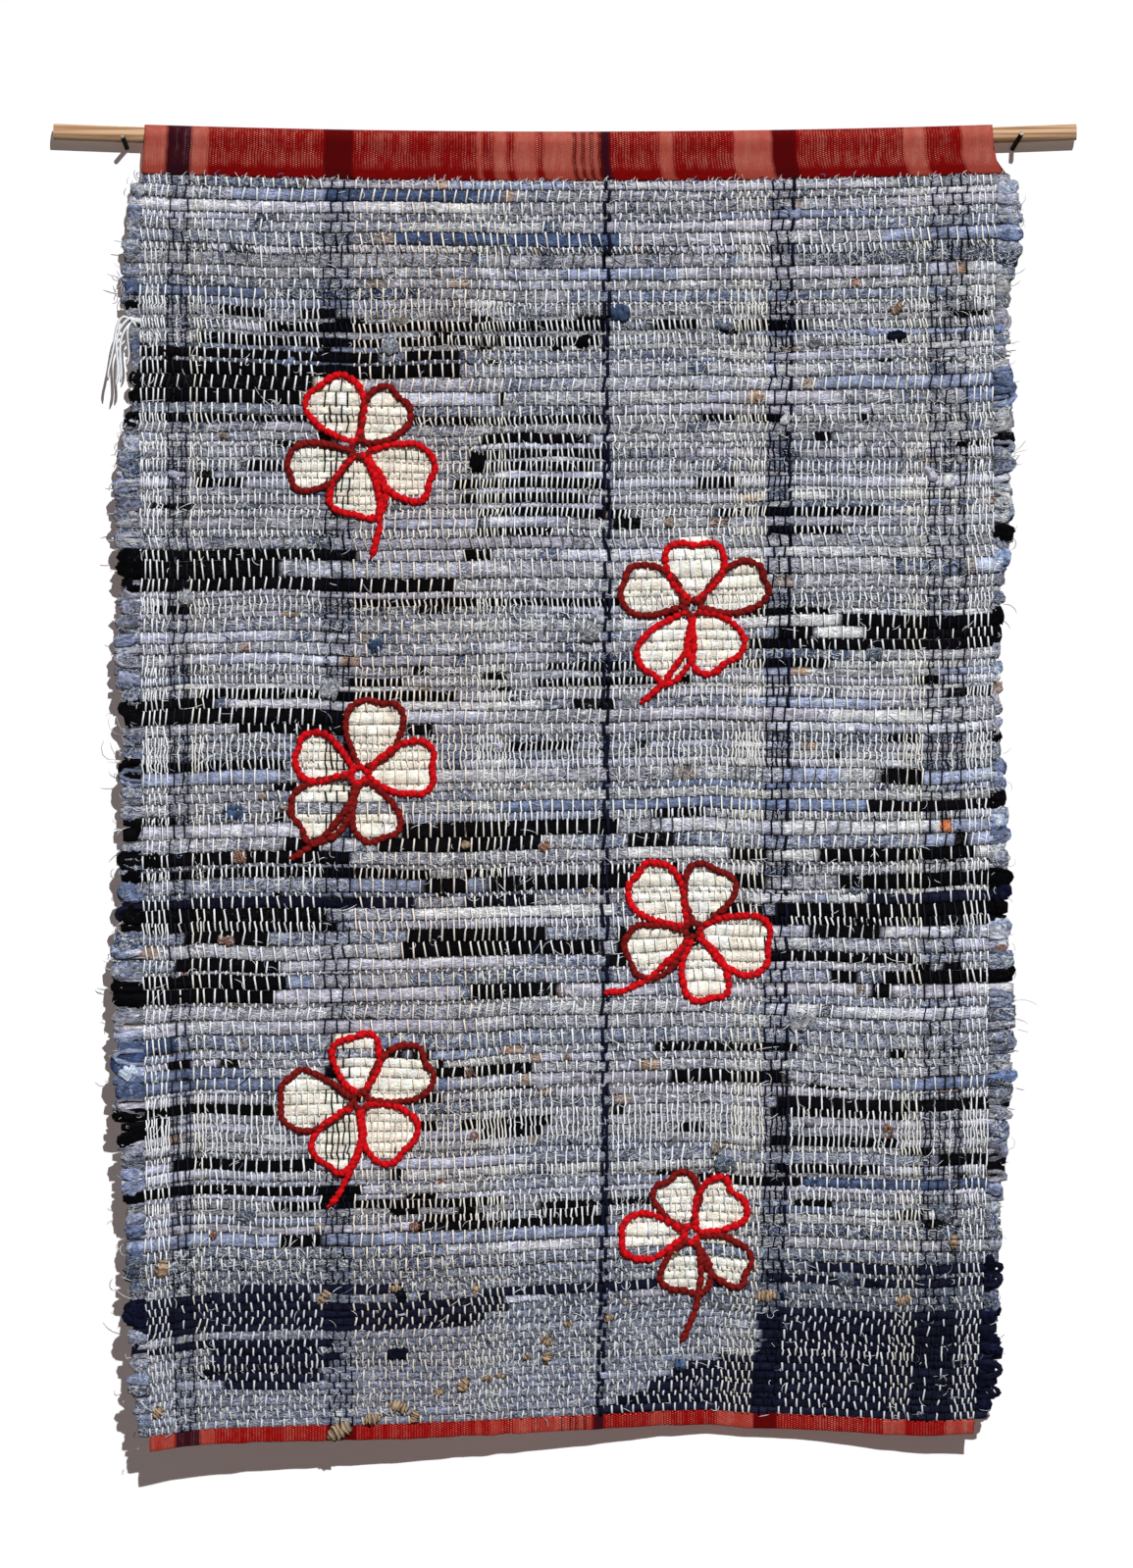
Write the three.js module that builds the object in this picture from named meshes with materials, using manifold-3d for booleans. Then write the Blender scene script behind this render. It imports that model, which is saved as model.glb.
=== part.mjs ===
// A hand-woven denim rag tapestry. The cloth is one piece, woven on one warp: a red
// heading that is turned over a pine dowel and stitched down as a sleeve, a thick
// field of rag strips, and a narrow red foot. The dowel bows under the weight and
// rests on two nails.
//
// Millimetres, +Z up. The origin lies on the wall, midway between the nails. The wall
// is the plane y = 0, the tapestry hangs on the -Y side of it and its face looks to -Y.

import * as THREE from "three";
import { mergeVertices } from "three/addons/utils/BufferGeometryUtils.js";
import Module from "manifold-3d";

const wasm = await Module();
wasm.setup();

// ---------------------------------------------------------------- driving sizes
const GAP = 0.3; // between pieces that touch

const ROD = { radius: 8, left: -504.5, right: 495.5, off: 11, low: 2, bow: 4.0e-5, sides: 20, steps: 24 };
const NAIL = { radius: 1.25, head: 2.3, headThick: 1.2, sides: 12, inWall: 6 };
// Where each nail meets the wall, how far it stands out of it, and how far its head
// lies to the side of its foot and above it.
const NAILS = [
  { name: "nail_left", x: -433.3, out: 35, aside: -2.8, rise: 9.5 },
  { name: "nail_right", x: 433.3, out: 38, aside: 7.6, rise: 12.5 },
];

const SLEEVE = {
  cloth: 2, // one layer of the red heading
  drop: 38, // from the dowel's middle down to the stitched edge
  crotch: 26, // from the dowel's middle down to where the two layers meet
  seam: 4.4, // thickness at the stitched edge
  arcSteps: 10,
};
const FIELD = { thick: 7, columns: 28, rows: 40 };
const FOOT = { thick: 2.6, deep: 11.5 };

// The two side edges, by how far down from the heading's stitched edge they are
// measured. The rag turns make them uneven.
const SIDES = [
  { down: -50, left: -414.5, right: 413.0 },
  { down: -20, left: -416.0, right: 415.0 },
  { down: -3, left: -418.5, right: 421.5 },
  { down: 3, left: -420.5, right: 434.5 },
  { down: 23, left: -433.9, right: 440.5 },
  { down: 62, left: -437.7, right: 445.0 },
  { down: 105, left: -442.0, right: 432.6 },
  { down: 157, left: -431.0, right: 432.0 },
  { down: 210, left: -430.0, right: 435.5 },
  { down: 260, left: -440.5, right: 436.5 },
  { down: 306, left: -445.4, right: 433.6 },
  { down: 345, left: -445.0, right: 435.5 },
  { down: 402, left: -440.6, right: 426.8 },
  { down: 470, left: -445.4, right: 421.5 },
  { down: 532, left: -438.0, right: 419.2 },
  { down: 595, left: -439.6, right: 427.8 },
  { down: 652, left: -440.6, right: 430.7 },
  { down: 710, left: -442.0, right: 432.6 },
  { down: 748, left: -447.3, right: 430.7 },
  { down: 800, left: -445.0, right: 435.5 },
  { down: 892, left: -445.4, right: 435.0 },
  { down: 940, left: -438.7, right: 427.8 },
  { down: 998, left: -433.9, right: 424.0 },
  { down: 1065, left: -432.9, right: 421.1 },
  { down: 1123, left: -430.0, right: 422.0 },
  { down: 1171, left: -428.1, right: 420.5 },
  { down: 1200, left: -422.3, right: 412.4 },
  { down: 1216, left: -414.0, right: 404.0 },
  { down: 1226, left: -407.5, right: 395.5 },
  { down: 1240, left: -406.0, right: 394.5 },
];

// The lower edge of the red foot.
const HEM = [
  { x: -450, low: -1277.0 },
  { x: -407, low: -1274.7 },
  { x: -359, low: -1268.5 },
  { x: -270, low: -1266.1 },
  { x: -135, low: -1263.2 },
  { x: 0, low: -1256.9 },
  { x: 134, low: -1251.9 },
  { x: 172, low: -1255.3 },
  { x: 230, low: -1256.9 },
  { x: 345, low: -1262.0 },
  { x: 395, low: -1259.3 },
  { x: 450, low: -1257.0 },
];

// How far the middle of the cloth stands off the wall, for the folds that run down it:
// a fifth of the way down, just past half way, and at the foot. It leaves the dowel at
// ROD.off everywhere, curls forward along the left edge and lies closest right of centre.
const FOLDS = [
  { x: -450, upper: 27, middle: 41, foot: 69 },
  { x: -390, upper: 22, middle: 33, foot: 61 },
  { x: -300, upper: 17, middle: 25, foot: 52 },
  { x: -150, upper: 14, middle: 19, foot: 41 },
  { x: 0, upper: 12.5, middle: 16, foot: 30 },
  { x: 140, upper: 12, middle: 13, foot: 15 },
  { x: 220, upper: 12, middle: 13.5, foot: 16 },
  { x: 330, upper: 13.5, middle: 17, foot: 28 },
  { x: 450, upper: 17, middle: 23, foot: 43 },
];
const FOLD_LEVELS = { upper: 0.2, middle: 0.55, foot: 1 };
const WAVE = { deep: 1.6, across: 118, down: 5.2 }; // shallow swells across the field

// ---------------------------------------------------------------- small helpers

// A smooth curve through the rows of a table: the value in column `key` at `at`,
// measured along column `by`.
function through(table, by, key, at) {
  const n = table.length;
  let i = 0;
  while (i < n - 2 && at > table[i + 1][by]) i++;
  const slope = (k) => {
    const a = table[Math.max(k - 1, 0)];
    const b = table[Math.min(k + 1, n - 1)];
    return (b[key] - a[key]) / (b[by] - a[by]);
  };
  const a = table[i];
  const b = table[i + 1];
  const span = b[by] - a[by];
  const t = Math.min(Math.max((at - a[by]) / span, 0), 1);
  const t2 = t * t;
  const t3 = t2 * t;
  return (
    (2 * t3 - 3 * t2 + 1) * a[key] +
    (t3 - 2 * t2 + t) * span * slope(i) +
    (3 * t2 - 2 * t3) * b[key] +
    (t3 - t2) * span * slope(i + 1)
  );
}

const rodHeight = (x) => ROD.low + ROD.bow * x * x;
const seamHeight = (x) => rodHeight(x) - SLEEVE.drop;
const hemHeight = (x) => through(HEM, "x", "low", x);

// How far the cloth's middle stands off the wall at x, a share v of the way down.
function standOff(x, v) {
  const levels = [{ v: 0, off: ROD.off }];
  for (const [key, level] of Object.entries(FOLD_LEVELS)) levels.push({ v: level, off: through(FOLDS, "x", key, x) });
  const swell = Math.sin((2 * Math.PI * x) / (2 * WAVE.across) + WAVE.down * v) * Math.sin(Math.PI * v);
  return through(levels, "v", "off", v) + WAVE.deep * swell;
}

// A closed surface from a vertex list and a face list, each face a loop of indices.
function solidFrom(points, faces) {
  const index = [];
  for (const loop of faces)
    for (let k = 1; k < loop.length - 1; k++)
      if (new Set([loop[0], loop[k], loop[k + 1]]).size === 3) index.push(loop[0], loop[k], loop[k + 1]);
  const geometry = new THREE.BufferGeometry();
  geometry.setAttribute("position", new THREE.Float32BufferAttribute(points.flat(), 3));
  geometry.setIndex(index);
  geometry.computeVertexNormals();
  return geometry;
}

function toSolid(geometry) {
  const bare = geometry.clone();
  bare.deleteAttribute("normal");
  bare.deleteAttribute("uv");
  const merged = mergeVertices(bare, 1e-4);
  return new wasm.Manifold(
    new wasm.Mesh({
      numProp: 3,
      vertProperties: new Float32Array(merged.attributes.position.array),
      triVerts: new Uint32Array(merged.index.array),
    }),
  );
}

function fromSolid(solid) {
  const mesh = solid.getMesh();
  const geometry = new THREE.BufferGeometry();
  geometry.setAttribute("position", new THREE.BufferAttribute(mesh.vertProperties, 3));
  geometry.setIndex(new THREE.BufferAttribute(mesh.triVerts, 1));
  geometry.computeVertexNormals();
  return geometry;
}

// ---------------------------------------------------------------- the dowel

function rodGeometry() {
  // A parabola is exactly one quadratic curve: its middle handle lies where the end
  // tangents cross.
  const end = (x) => new THREE.Vector3(x, -ROD.off, rodHeight(x));
  const middle = (ROD.left + ROD.right) / 2;
  const handle = ROD.low + ROD.bow * ROD.left * ROD.right;
  const path = new THREE.QuadraticBezierCurve3(
    end(ROD.left),
    new THREE.Vector3(middle, -ROD.off, handle),
    end(ROD.right),
  );
  const section = new THREE.Shape();
  section.absarc(0, 0, ROD.radius, 0, 2 * Math.PI);
  return new THREE.ExtrudeGeometry(section, {
    steps: ROD.steps,
    curveSegments: ROD.sides / 2,
    extrudePath: path,
    bevelEnabled: false,
  });
}

// ---------------------------------------------------------------- the nails

// A nail from its flat end on the wall, through the point where the dowel rests on it,
// to its head. Its foot is at the height that leaves the dowel GAP above the shank.
function nailFoot(nail) {
  const along = new THREE.Vector3(nail.aside, -nail.out, nail.rise).normalize();
  const rodAlong = new THREE.Vector3(1, 0, 2 * ROD.bow * nail.x).normalize();
  const between = new THREE.Vector3().crossVectors(along, rodAlong).normalize();
  if (between.z < 0) between.negate();
  const reach = ROD.radius + NAIL.radius + GAP;
  // The foot is (x, 0, z): its distance to the dowel's axis along `between` is `reach`.
  const z = rodHeight(nail.x) + (between.y * -ROD.off - reach) / between.z;
  return new THREE.Vector3(nail.x, 0, z);
}

function nailGeometry(nail) {
  const foot = nailFoot(nail);
  const along = new THREE.Vector3(nail.aside, -nail.out, nail.rise);
  const length = along.length();
  along.normalize();
  const profile = [
    [0, -NAIL.inWall],
    [NAIL.radius, -NAIL.inWall],
    [NAIL.radius, length - NAIL.headThick],
    [NAIL.head, length - NAIL.headThick],
    [NAIL.head, length - 0.3],
    [NAIL.head - 0.4, length],
    [0, length],
  ].map(([r, h]) => new THREE.Vector2(r, h));
  const lathe = new THREE.LatheGeometry(profile, NAIL.sides);
  lathe.applyQuaternion(new THREE.Quaternion().setFromUnitVectors(new THREE.Vector3(0, 1, 0), along));
  lathe.translate(foot.x, foot.y, foot.z);
  // The wall cuts the shank off flat at y = 0.
  const wall = new THREE.BoxGeometry(60, 30, 60);
  wall.translate(foot.x, 15, foot.z);
  return fromSolid(toSolid(lathe).subtract(toSolid(wall)));
}

// ---------------------------------------------------------------- the cloth

// The shares of the way down at which the field has a row of points. The first rows
// take the cloth from the thin stitched edge to the thick field, and the last ones from
// the field to the thin red foot.
function rowShares() {
  const tall = seamHeight(0) - hemHeight(0);
  const foot = 1 - FOOT.deep / tall;
  const shares = [0, 4 / tall, 14 / tall];
  const first = 30 / tall;
  const last = foot - 22 / tall;
  for (let j = 0; j <= FIELD.rows; j++) shares.push(first + ((last - first) * j) / FIELD.rows);
  shares.push(foot - 3 / tall, foot + 1.5 / tall, 1);
  return shares;
}

function clothThickness(v, shares) {
  const n = shares.length;
  if (v <= shares[1]) return SLEEVE.seam;
  if (v <= shares[2]) return 0.5 * (SLEEVE.seam + FIELD.thick) + 1;
  if (v >= shares[n - 2]) return FOOT.thick;
  return FIELD.thick;
}

// One cut across the cloth, at a share u of its width: the closed outer outline from
// the hem's face, up over the dowel and down the back to the hem, and the closed inner
// outline of the sleeve.
function clothStation(u, shares) {
  const sideAt = (down) => {
    const left = through(SIDES, "down", "left", down);
    const right = through(SIDES, "down", "right", down);
    return left + (right - left) * u;
  };
  const tall = seamHeight(0) - hemHeight(0);
  const front = [];
  const back = [];
  for (const v of shares) {
    const x = sideAt(v * tall);
    const z = seamHeight(x) + (hemHeight(x) - seamHeight(x)) * v;
    const y = -standOff(x, v);
    const half = clothThickness(v, shares) / 2;
    front.push([x, y - half, z]);
    back.push([x, y + half, z]);
  }
  const inner = (ROD.radius + GAP) / Math.cos((0.6 * Math.PI) / SLEEVE.arcSteps) + 0.02;
  const outer = inner + SLEEVE.cloth;
  const open = Math.acos(inner / SLEEVE.crotch); // from straight down to the tangent
  const place = (side, below) => {
    const x = sideAt(below - SLEEVE.drop);
    return [x, -ROD.off + side, rodHeight(x) - below];
  };
  const outside = [place(-SLEEVE.seam / 2 - 0.3, SLEEVE.crotch + 1.5)];
  const inside = [];
  for (let k = 0; k <= SLEEVE.arcSteps; k++) {
    const turn = open + ((2 * Math.PI - 2 * open) * k) / SLEEVE.arcSteps;
    outside.push(place(-Math.sin(turn) * outer, Math.cos(turn) * outer));
    inside.push(place(-Math.sin(turn) * inner, Math.cos(turn) * inner));
  }
  outside.push(place(SLEEVE.seam / 2 + 0.3, SLEEVE.crotch + 1.5));
  inside.push(place(0, SLEEVE.crotch));
  return { outline: [...front.reverse(), ...outside, ...back], hole: inside, rows: shares.length };
}

function clothGeometry() {
  const shares = rowShares();
  const stations = [];
  for (let i = 0; i <= FIELD.columns; i++) stations.push(clothStation(i / FIELD.columns, shares));
  const { outline, hole, rows } = stations[0];
  const size = outline.length + hole.length;
  const points = stations.flatMap((s) => [...s.outline, ...s.hole]);
  const faces = [];
  for (let i = 0; i < FIELD.columns; i++) {
    const a = i * size;
    const b = a + size;
    outline.forEach((_, k) => {
      const next = (k + 1) % outline.length;
      faces.push([a + k, b + k, b + next, a + next]);
    });
    hole.forEach((_, k) => {
      const next = (k + 1) % hole.length;
      const at = outline.length;
      faces.push([a + at + next, b + at + next, b + at + k, a + at + k]);
    });
  }
  // The two side faces: the field between its front and back rows, then the ring of
  // the sleeve between its outer and inner outlines.
  const last = outline.length - 1;
  const arc = hole.length - 1;
  const crotch = outline.length + arc;
  const side = [];
  for (let j = 0; j < rows - 1; j++) side.push([j, j + 1, last - j - 1, last - j]);
  side.push([rows - 1, crotch, last - rows + 1]);
  side.push([rows - 1, rows, crotch]);
  side.push([rows, rows + 1, outline.length, crotch]);
  for (let k = 0; k < arc - 1; k++)
    side.push([rows + 1 + k, rows + 2 + k, outline.length + k + 1, outline.length + k]);
  side.push([rows + arc, rows + arc + 1, crotch, crotch - 1]);
  side.push([rows + arc + 1, rows + arc + 2, crotch]);
  const far = FIELD.columns * size;
  for (const loop of side) {
    faces.push([...loop]);
    faces.push([...loop].reverse().map((k) => k + far));
  }
  return solidFrom(points, faces);
}

// ---------------------------------------------------------------- the object

const pine = new THREE.MeshStandardMaterial({ name: "pine", color: 0xd3aa7c, roughness: 0.55, metalness: 0 });
const steel = new THREE.MeshStandardMaterial({ name: "steel", color: 0x5a544c, roughness: 0.4, metalness: 0.9 });
const denim = new THREE.MeshStandardMaterial({ name: "denim", color: 0x7c8292, roughness: 0.95, metalness: 0 });

function piece(name, geometry, material) {
  const mesh = new THREE.Mesh(geometry, material);
  mesh.name = name;
  return mesh;
}

const hanging = new THREE.Group();
hanging.add(piece("hanging_rod", rodGeometry(), pine));
for (const nail of NAILS) hanging.add(piece(nail.name, nailGeometry(nail), steel));

const tapestry = new THREE.Group();
tapestry.add(piece("tapestry_cloth", clothGeometry(), denim));

const root = new THREE.Group();
root.add(hanging, tapestry);
export default root;
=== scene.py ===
"""A denim rag tapestry with a red heading, hung from a bowed pine dowel on two nails.

The solids of the frame give the place and size of every piece. This script weaves
the cloth over its solid: rag rows, warp ends, the red heading and foot, stitched
flowers, knots, turns and frayed threads. Sizes in the classes are in millimetres.
"""

import logging
import math
from dataclasses import dataclass, field
from enum import Enum
from typing import Any, Callable, NamedTuple

import bpy
import numpy as np
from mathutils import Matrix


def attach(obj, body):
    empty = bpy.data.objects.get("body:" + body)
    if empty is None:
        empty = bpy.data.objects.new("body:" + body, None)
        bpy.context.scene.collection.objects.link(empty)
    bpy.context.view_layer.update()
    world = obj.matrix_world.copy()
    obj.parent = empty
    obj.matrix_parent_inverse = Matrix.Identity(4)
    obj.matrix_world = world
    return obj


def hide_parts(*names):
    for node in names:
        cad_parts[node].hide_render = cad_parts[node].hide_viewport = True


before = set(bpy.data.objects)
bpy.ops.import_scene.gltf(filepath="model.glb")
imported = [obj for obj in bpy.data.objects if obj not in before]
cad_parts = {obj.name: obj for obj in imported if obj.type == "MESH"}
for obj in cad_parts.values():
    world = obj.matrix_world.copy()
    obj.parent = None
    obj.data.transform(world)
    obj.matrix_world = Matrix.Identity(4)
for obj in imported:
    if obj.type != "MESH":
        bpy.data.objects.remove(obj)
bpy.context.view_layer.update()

LOG = logging.getLogger("tapestry")
MM = 0.001
CLOTH_SLOT = "denim_rag_cloth"
CLOTH_NODE = "tapestry_cloth"
Array = np.ndarray
Chance = np.random.Generator
Finish = bpy.types.Material
Piece = bpy.types.Object


# ---- small tools


def shade(red: float, green: float, blue: float) -> Array:
    """A colour as seen on a screen, 0 to 255 each, as linear light."""
    c = np.array([red, green, blue]) / 255
    return np.where(c <= 0.04045, c / 12.92, ((c + 0.055) / 1.055) ** 2.4)


def through(xs: Array, ys: Array, at: Array) -> Array:
    """A smooth curve through points.

    Args:
        xs: the points' places, in rising order.
        ys: the values there, or one value there for each place that is wanted.
        at: the places at which the curve is wanted.

    Returns:
        The curve's values at those places.
    """
    xs, ys = np.asarray(xs, float), np.asarray(ys, float)
    at = np.asarray(at, float)
    k = np.arange(len(xs))
    low, high = np.maximum(k - 1, 0), np.minimum(k + 1, len(xs) - 1)
    slope = (ys[high] - ys[low]) / (xs[high] - xs[low]).reshape(-1, *[1] * (ys.ndim - 1))
    i = np.clip(np.searchsorted(xs, at) - 1, 0, len(xs) - 2)

    def take(a: Array, j: Array) -> Array:
        """The entries of a at the points j."""
        return a[j] if a.ndim == 1 else np.take_along_axis(a, j[None], 0)[0]

    span = xs[i + 1] - xs[i]
    t = np.clip((at - xs[i]) / span, 0, 1)
    t2, t3 = t * t, t * t * t
    return (
        (2 * t3 - 3 * t2 + 1) * take(ys, i)
        + (t3 - 2 * t2 + t) * span * take(slope, i)
        + (3 * t2 - 2 * t3) * take(ys, i + 1)
        + (t3 - t2) * span * take(slope, i + 1)
    )


def ease(lines: Array, every: float, count: int) -> Array:
    """Goes softly from each line to the next.

    Args:
        lines: lines by points.
        every: how many steps lie between two lines.
        count: how many steps there are in all.

    Returns:
        An array of steps by points.
    """
    at = np.arange(count) / every
    i = at.astype(int)
    f = (at - i)[:, None]
    f = f * f * (3 - 2 * f)
    return lines[i] * (1 - f) + lines[i + 1] * f


def wander(rng: Chance, rows: int, columns: int, every: float) -> Array:
    """Smooth wandering lines, one a row, about 0 and mostly within 1.

    Args:
        rng: the source of chance.
        rows: how many lines.
        columns: how many points each has.
        every: how many points lie between two changes of mind.

    Returns:
        An array of rows by columns.
    """
    return ease(rng.normal(0, 0.5, (rows, int(columns / every) + 3)).T, every, columns).T


def drift(rng: Chance, rows: int, columns: int, down: float, across: float) -> Array:
    """A smooth wandering surface, about 0 and mostly within 1.

    Args:
        rng: the source of chance.
        rows: how many rows of points.
        columns: how many points in a row.
        down: how many rows lie between two changes of mind.
        across: how many points of a row do.

    Returns:
        An array of rows by columns.
    """
    return 1.2 * ease(wander(rng, int(rows / down) + 3, columns, across), down, rows)


def from_ends(count: int) -> Array:
    """For each of a row of points, how many lie between it and the nearer end."""
    return np.minimum(np.arange(count), np.arange(count)[::-1])


def run(points: Array) -> Array:
    """How far along a line each of its points is."""
    steps = np.linalg.norm(np.diff(points, axis=0), axis=1)
    return np.concatenate([[0], np.cumsum(steps)])


def unit(v: Array) -> Array:
    """Vectors at length one."""
    return v / np.maximum(np.linalg.norm(v, axis=-1, keepdims=True), 1e-12)


def select_none() -> None:
    """Leaves nothing selected, because a new primitive works on what is selected."""
    bpy.ops.object.select_all(action="DESELECT")


# ---- how it hangs


# Down one side and the other: how far below the heading, the left and the right edge.
SIDES = np.array([
    (-50, -414.5, 413.0), (-20, -416.0, 415.0), (-3, -418.5, 421.5), (3, -420.5, 434.5),
    (23, -433.9, 440.5), (62, -437.7, 445.0), (105, -442.0, 432.6), (157, -431.0, 432.0),
    (210, -430.0, 435.5), (260, -440.5, 436.5), (306, -445.4, 433.6), (345, -445.0, 435.5),
    (402, -440.6, 426.8), (470, -445.4, 421.5), (532, -438.0, 419.2), (595, -439.6, 427.8),
    (652, -440.6, 430.7), (710, -442.0, 432.6), (748, -447.3, 430.7), (800, -445.0, 435.5),
    (892, -445.4, 435.0), (940, -438.7, 427.8), (998, -433.9, 424.0), (1065, -432.9, 421.1),
    (1123, -430.0, 422.0), (1171, -428.1, 420.5), (1200, -422.3, 412.4), (1216, -414.0, 404.0),
    (1226, -407.5, 395.5), (1240, -406.0, 394.5),
]).T
# Along the foot's lower edge: the place across, and its height.
HEMS = np.array([
    (-450, -1277.0), (-407, -1274.7), (-359, -1268.5), (-270, -1266.1), (-135, -1263.2),
    (0, -1256.9), (134, -1251.9), (172, -1255.3), (230, -1256.9), (345, -1262.0), (395, -1259.3),
    (450, -1257.0),
]).T
# Off the wall: the place across, then the distance a fifth of the way down, past the
# middle and at the foot.
FOLD_DOWN = (0, 0.2, 0.55, 1)
FOLDS = np.array([
    (-450, 27, 41, 69), (-390, 22, 33, 61), (-300, 17, 25, 52), (-150, 14, 19, 41),
    (0, 12.5, 16, 30), (140, 12, 13, 15), (220, 12, 13.5, 16), (330, 13.5, 17, 28),
    (450, 17, 23, 43),
]).T
# How the warp drifts: the share of the way down, then the drift of five of its ends.
DRIFT_AT = np.array([-415.6, -240.0, 37.0, 210.0, 415.4])
DRIFTS = np.array([
    (0, 0, 0, 0, 0, 0), (0.03, -3.2, -1, 0, 0, 3), (0.3, -3, 0, 0, -3, 0),
    (0.55, -1, 0, -2, -7, -5), (0.85, 2, 0, -4, -10, -10), (1, 8, 5, -8, -21, -21),
]).T


@dataclass(frozen=True)
class Hang:
    """The shape in which the cloth hangs, the same as its solid's."""

    rod_off: float = 11.0
    rod_low: float = 2.0
    rod_bow: float = 4.0e-5
    drop: float = 38.0
    foot_deep: float = 14.4
    wave: float = 1.6
    wave_across: float = 118.0
    wave_down: float = 5.2

    def rod_height(self, x: Array) -> Array:
        """The height of the dowel's middle line."""
        return self.rod_low + self.rod_bow * np.square(x)

    def seam(self, x: Array) -> Array:
        """The height of the heading's stitched edge."""
        return self.rod_height(x) - self.drop

    def hem(self, x: Array) -> Array:
        """The height of the foot's lower edge."""
        return through(*HEMS, x)

    @property
    def tall(self) -> float:
        """The cloth's height under the heading."""
        return float(self.seam(0.0) - self.hem(0.0))

    @property
    def field_share(self) -> float:
        """The share of that height that the rag field takes."""
        return 1 - self.foot_deep / self.tall

    def edges(self, down: Array) -> tuple[Array, Array]:
        """The left and right edges, by how far below the heading they are."""
        return tuple(through(SIDES[0], side, down) for side in SIDES[1:])

    def off_wall(self, x: Array, share: Array) -> Array:
        """How far the cloth's middle stands off the wall.

        Args:
            x: places across.
            share: how far down they are, as a share of the cloth's height.

        Returns:
            The distances.
        """
        x, share = np.broadcast_arrays(np.asarray(x, float), np.asarray(share, float))
        off = [np.full(x.shape, self.rod_off)] + [through(FOLDS[0], row, x) for row in FOLDS[1:]]
        smooth = through(FOLD_DOWN, np.stack(off), share)
        swell = np.sin(math.pi * x / self.wave_across + self.wave_down * share)
        return smooth + self.wave * swell * np.sin(math.pi * share)

    def height(self, x: Array, share: Array) -> Array:
        """The height of a point of the cloth a share of the way down."""
        return self.seam(x) + (self.hem(x) - self.seam(x)) * share

    def warp_x(self, end: Array, share: Array) -> Array:
        """Where a warp end lies further down the cloth.

        Args:
            end: its place at the heading.
            share: how far down, as a share of the cloth's height.

        Returns:
            Its place there.
        """
        end, share = np.broadcast_arrays(np.asarray(end, float), np.asarray(share, float))
        moved = np.stack([through(DRIFTS[0], row, share) for row in DRIFTS[1:]])
        i = np.clip(np.searchsorted(DRIFT_AT, end) - 1, 0, len(DRIFT_AT) - 2)
        part = np.clip((end - DRIFT_AT[i]) / (DRIFT_AT[i + 1] - DRIFT_AT[i]), 0, 1)
        low = np.take_along_axis(moved, i[None], 0)[0]
        high = np.take_along_axis(moved, i[None] + 1, 0)[0]
        return end + low * (1 - part) + high * part

    def face(
        self, x: Array, down: Array, proud: Array | float, back: Array | bool = False,
    ) -> Array:
        """Points on the cloth's face, or on its back.

        Args:
            x: places across.
            down: how far below the heading.
            proud: how far out of the cloth's middle.
            back: whether they lie on the back.

        Returns:
            Points, with one more axis of 3.
        """
        x, down, proud = np.broadcast_arrays(x, down, proud)
        share = down / self.tall
        y = -self.off_wall(x, share) + np.where(back, 1.0, -1.0) * proud
        return np.stack([x, y, self.height(x, share)], -1)


HANG = Hang()
OUTWARD = np.array([0.0, -1.0, 0.0])


# ---- meshes


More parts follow.
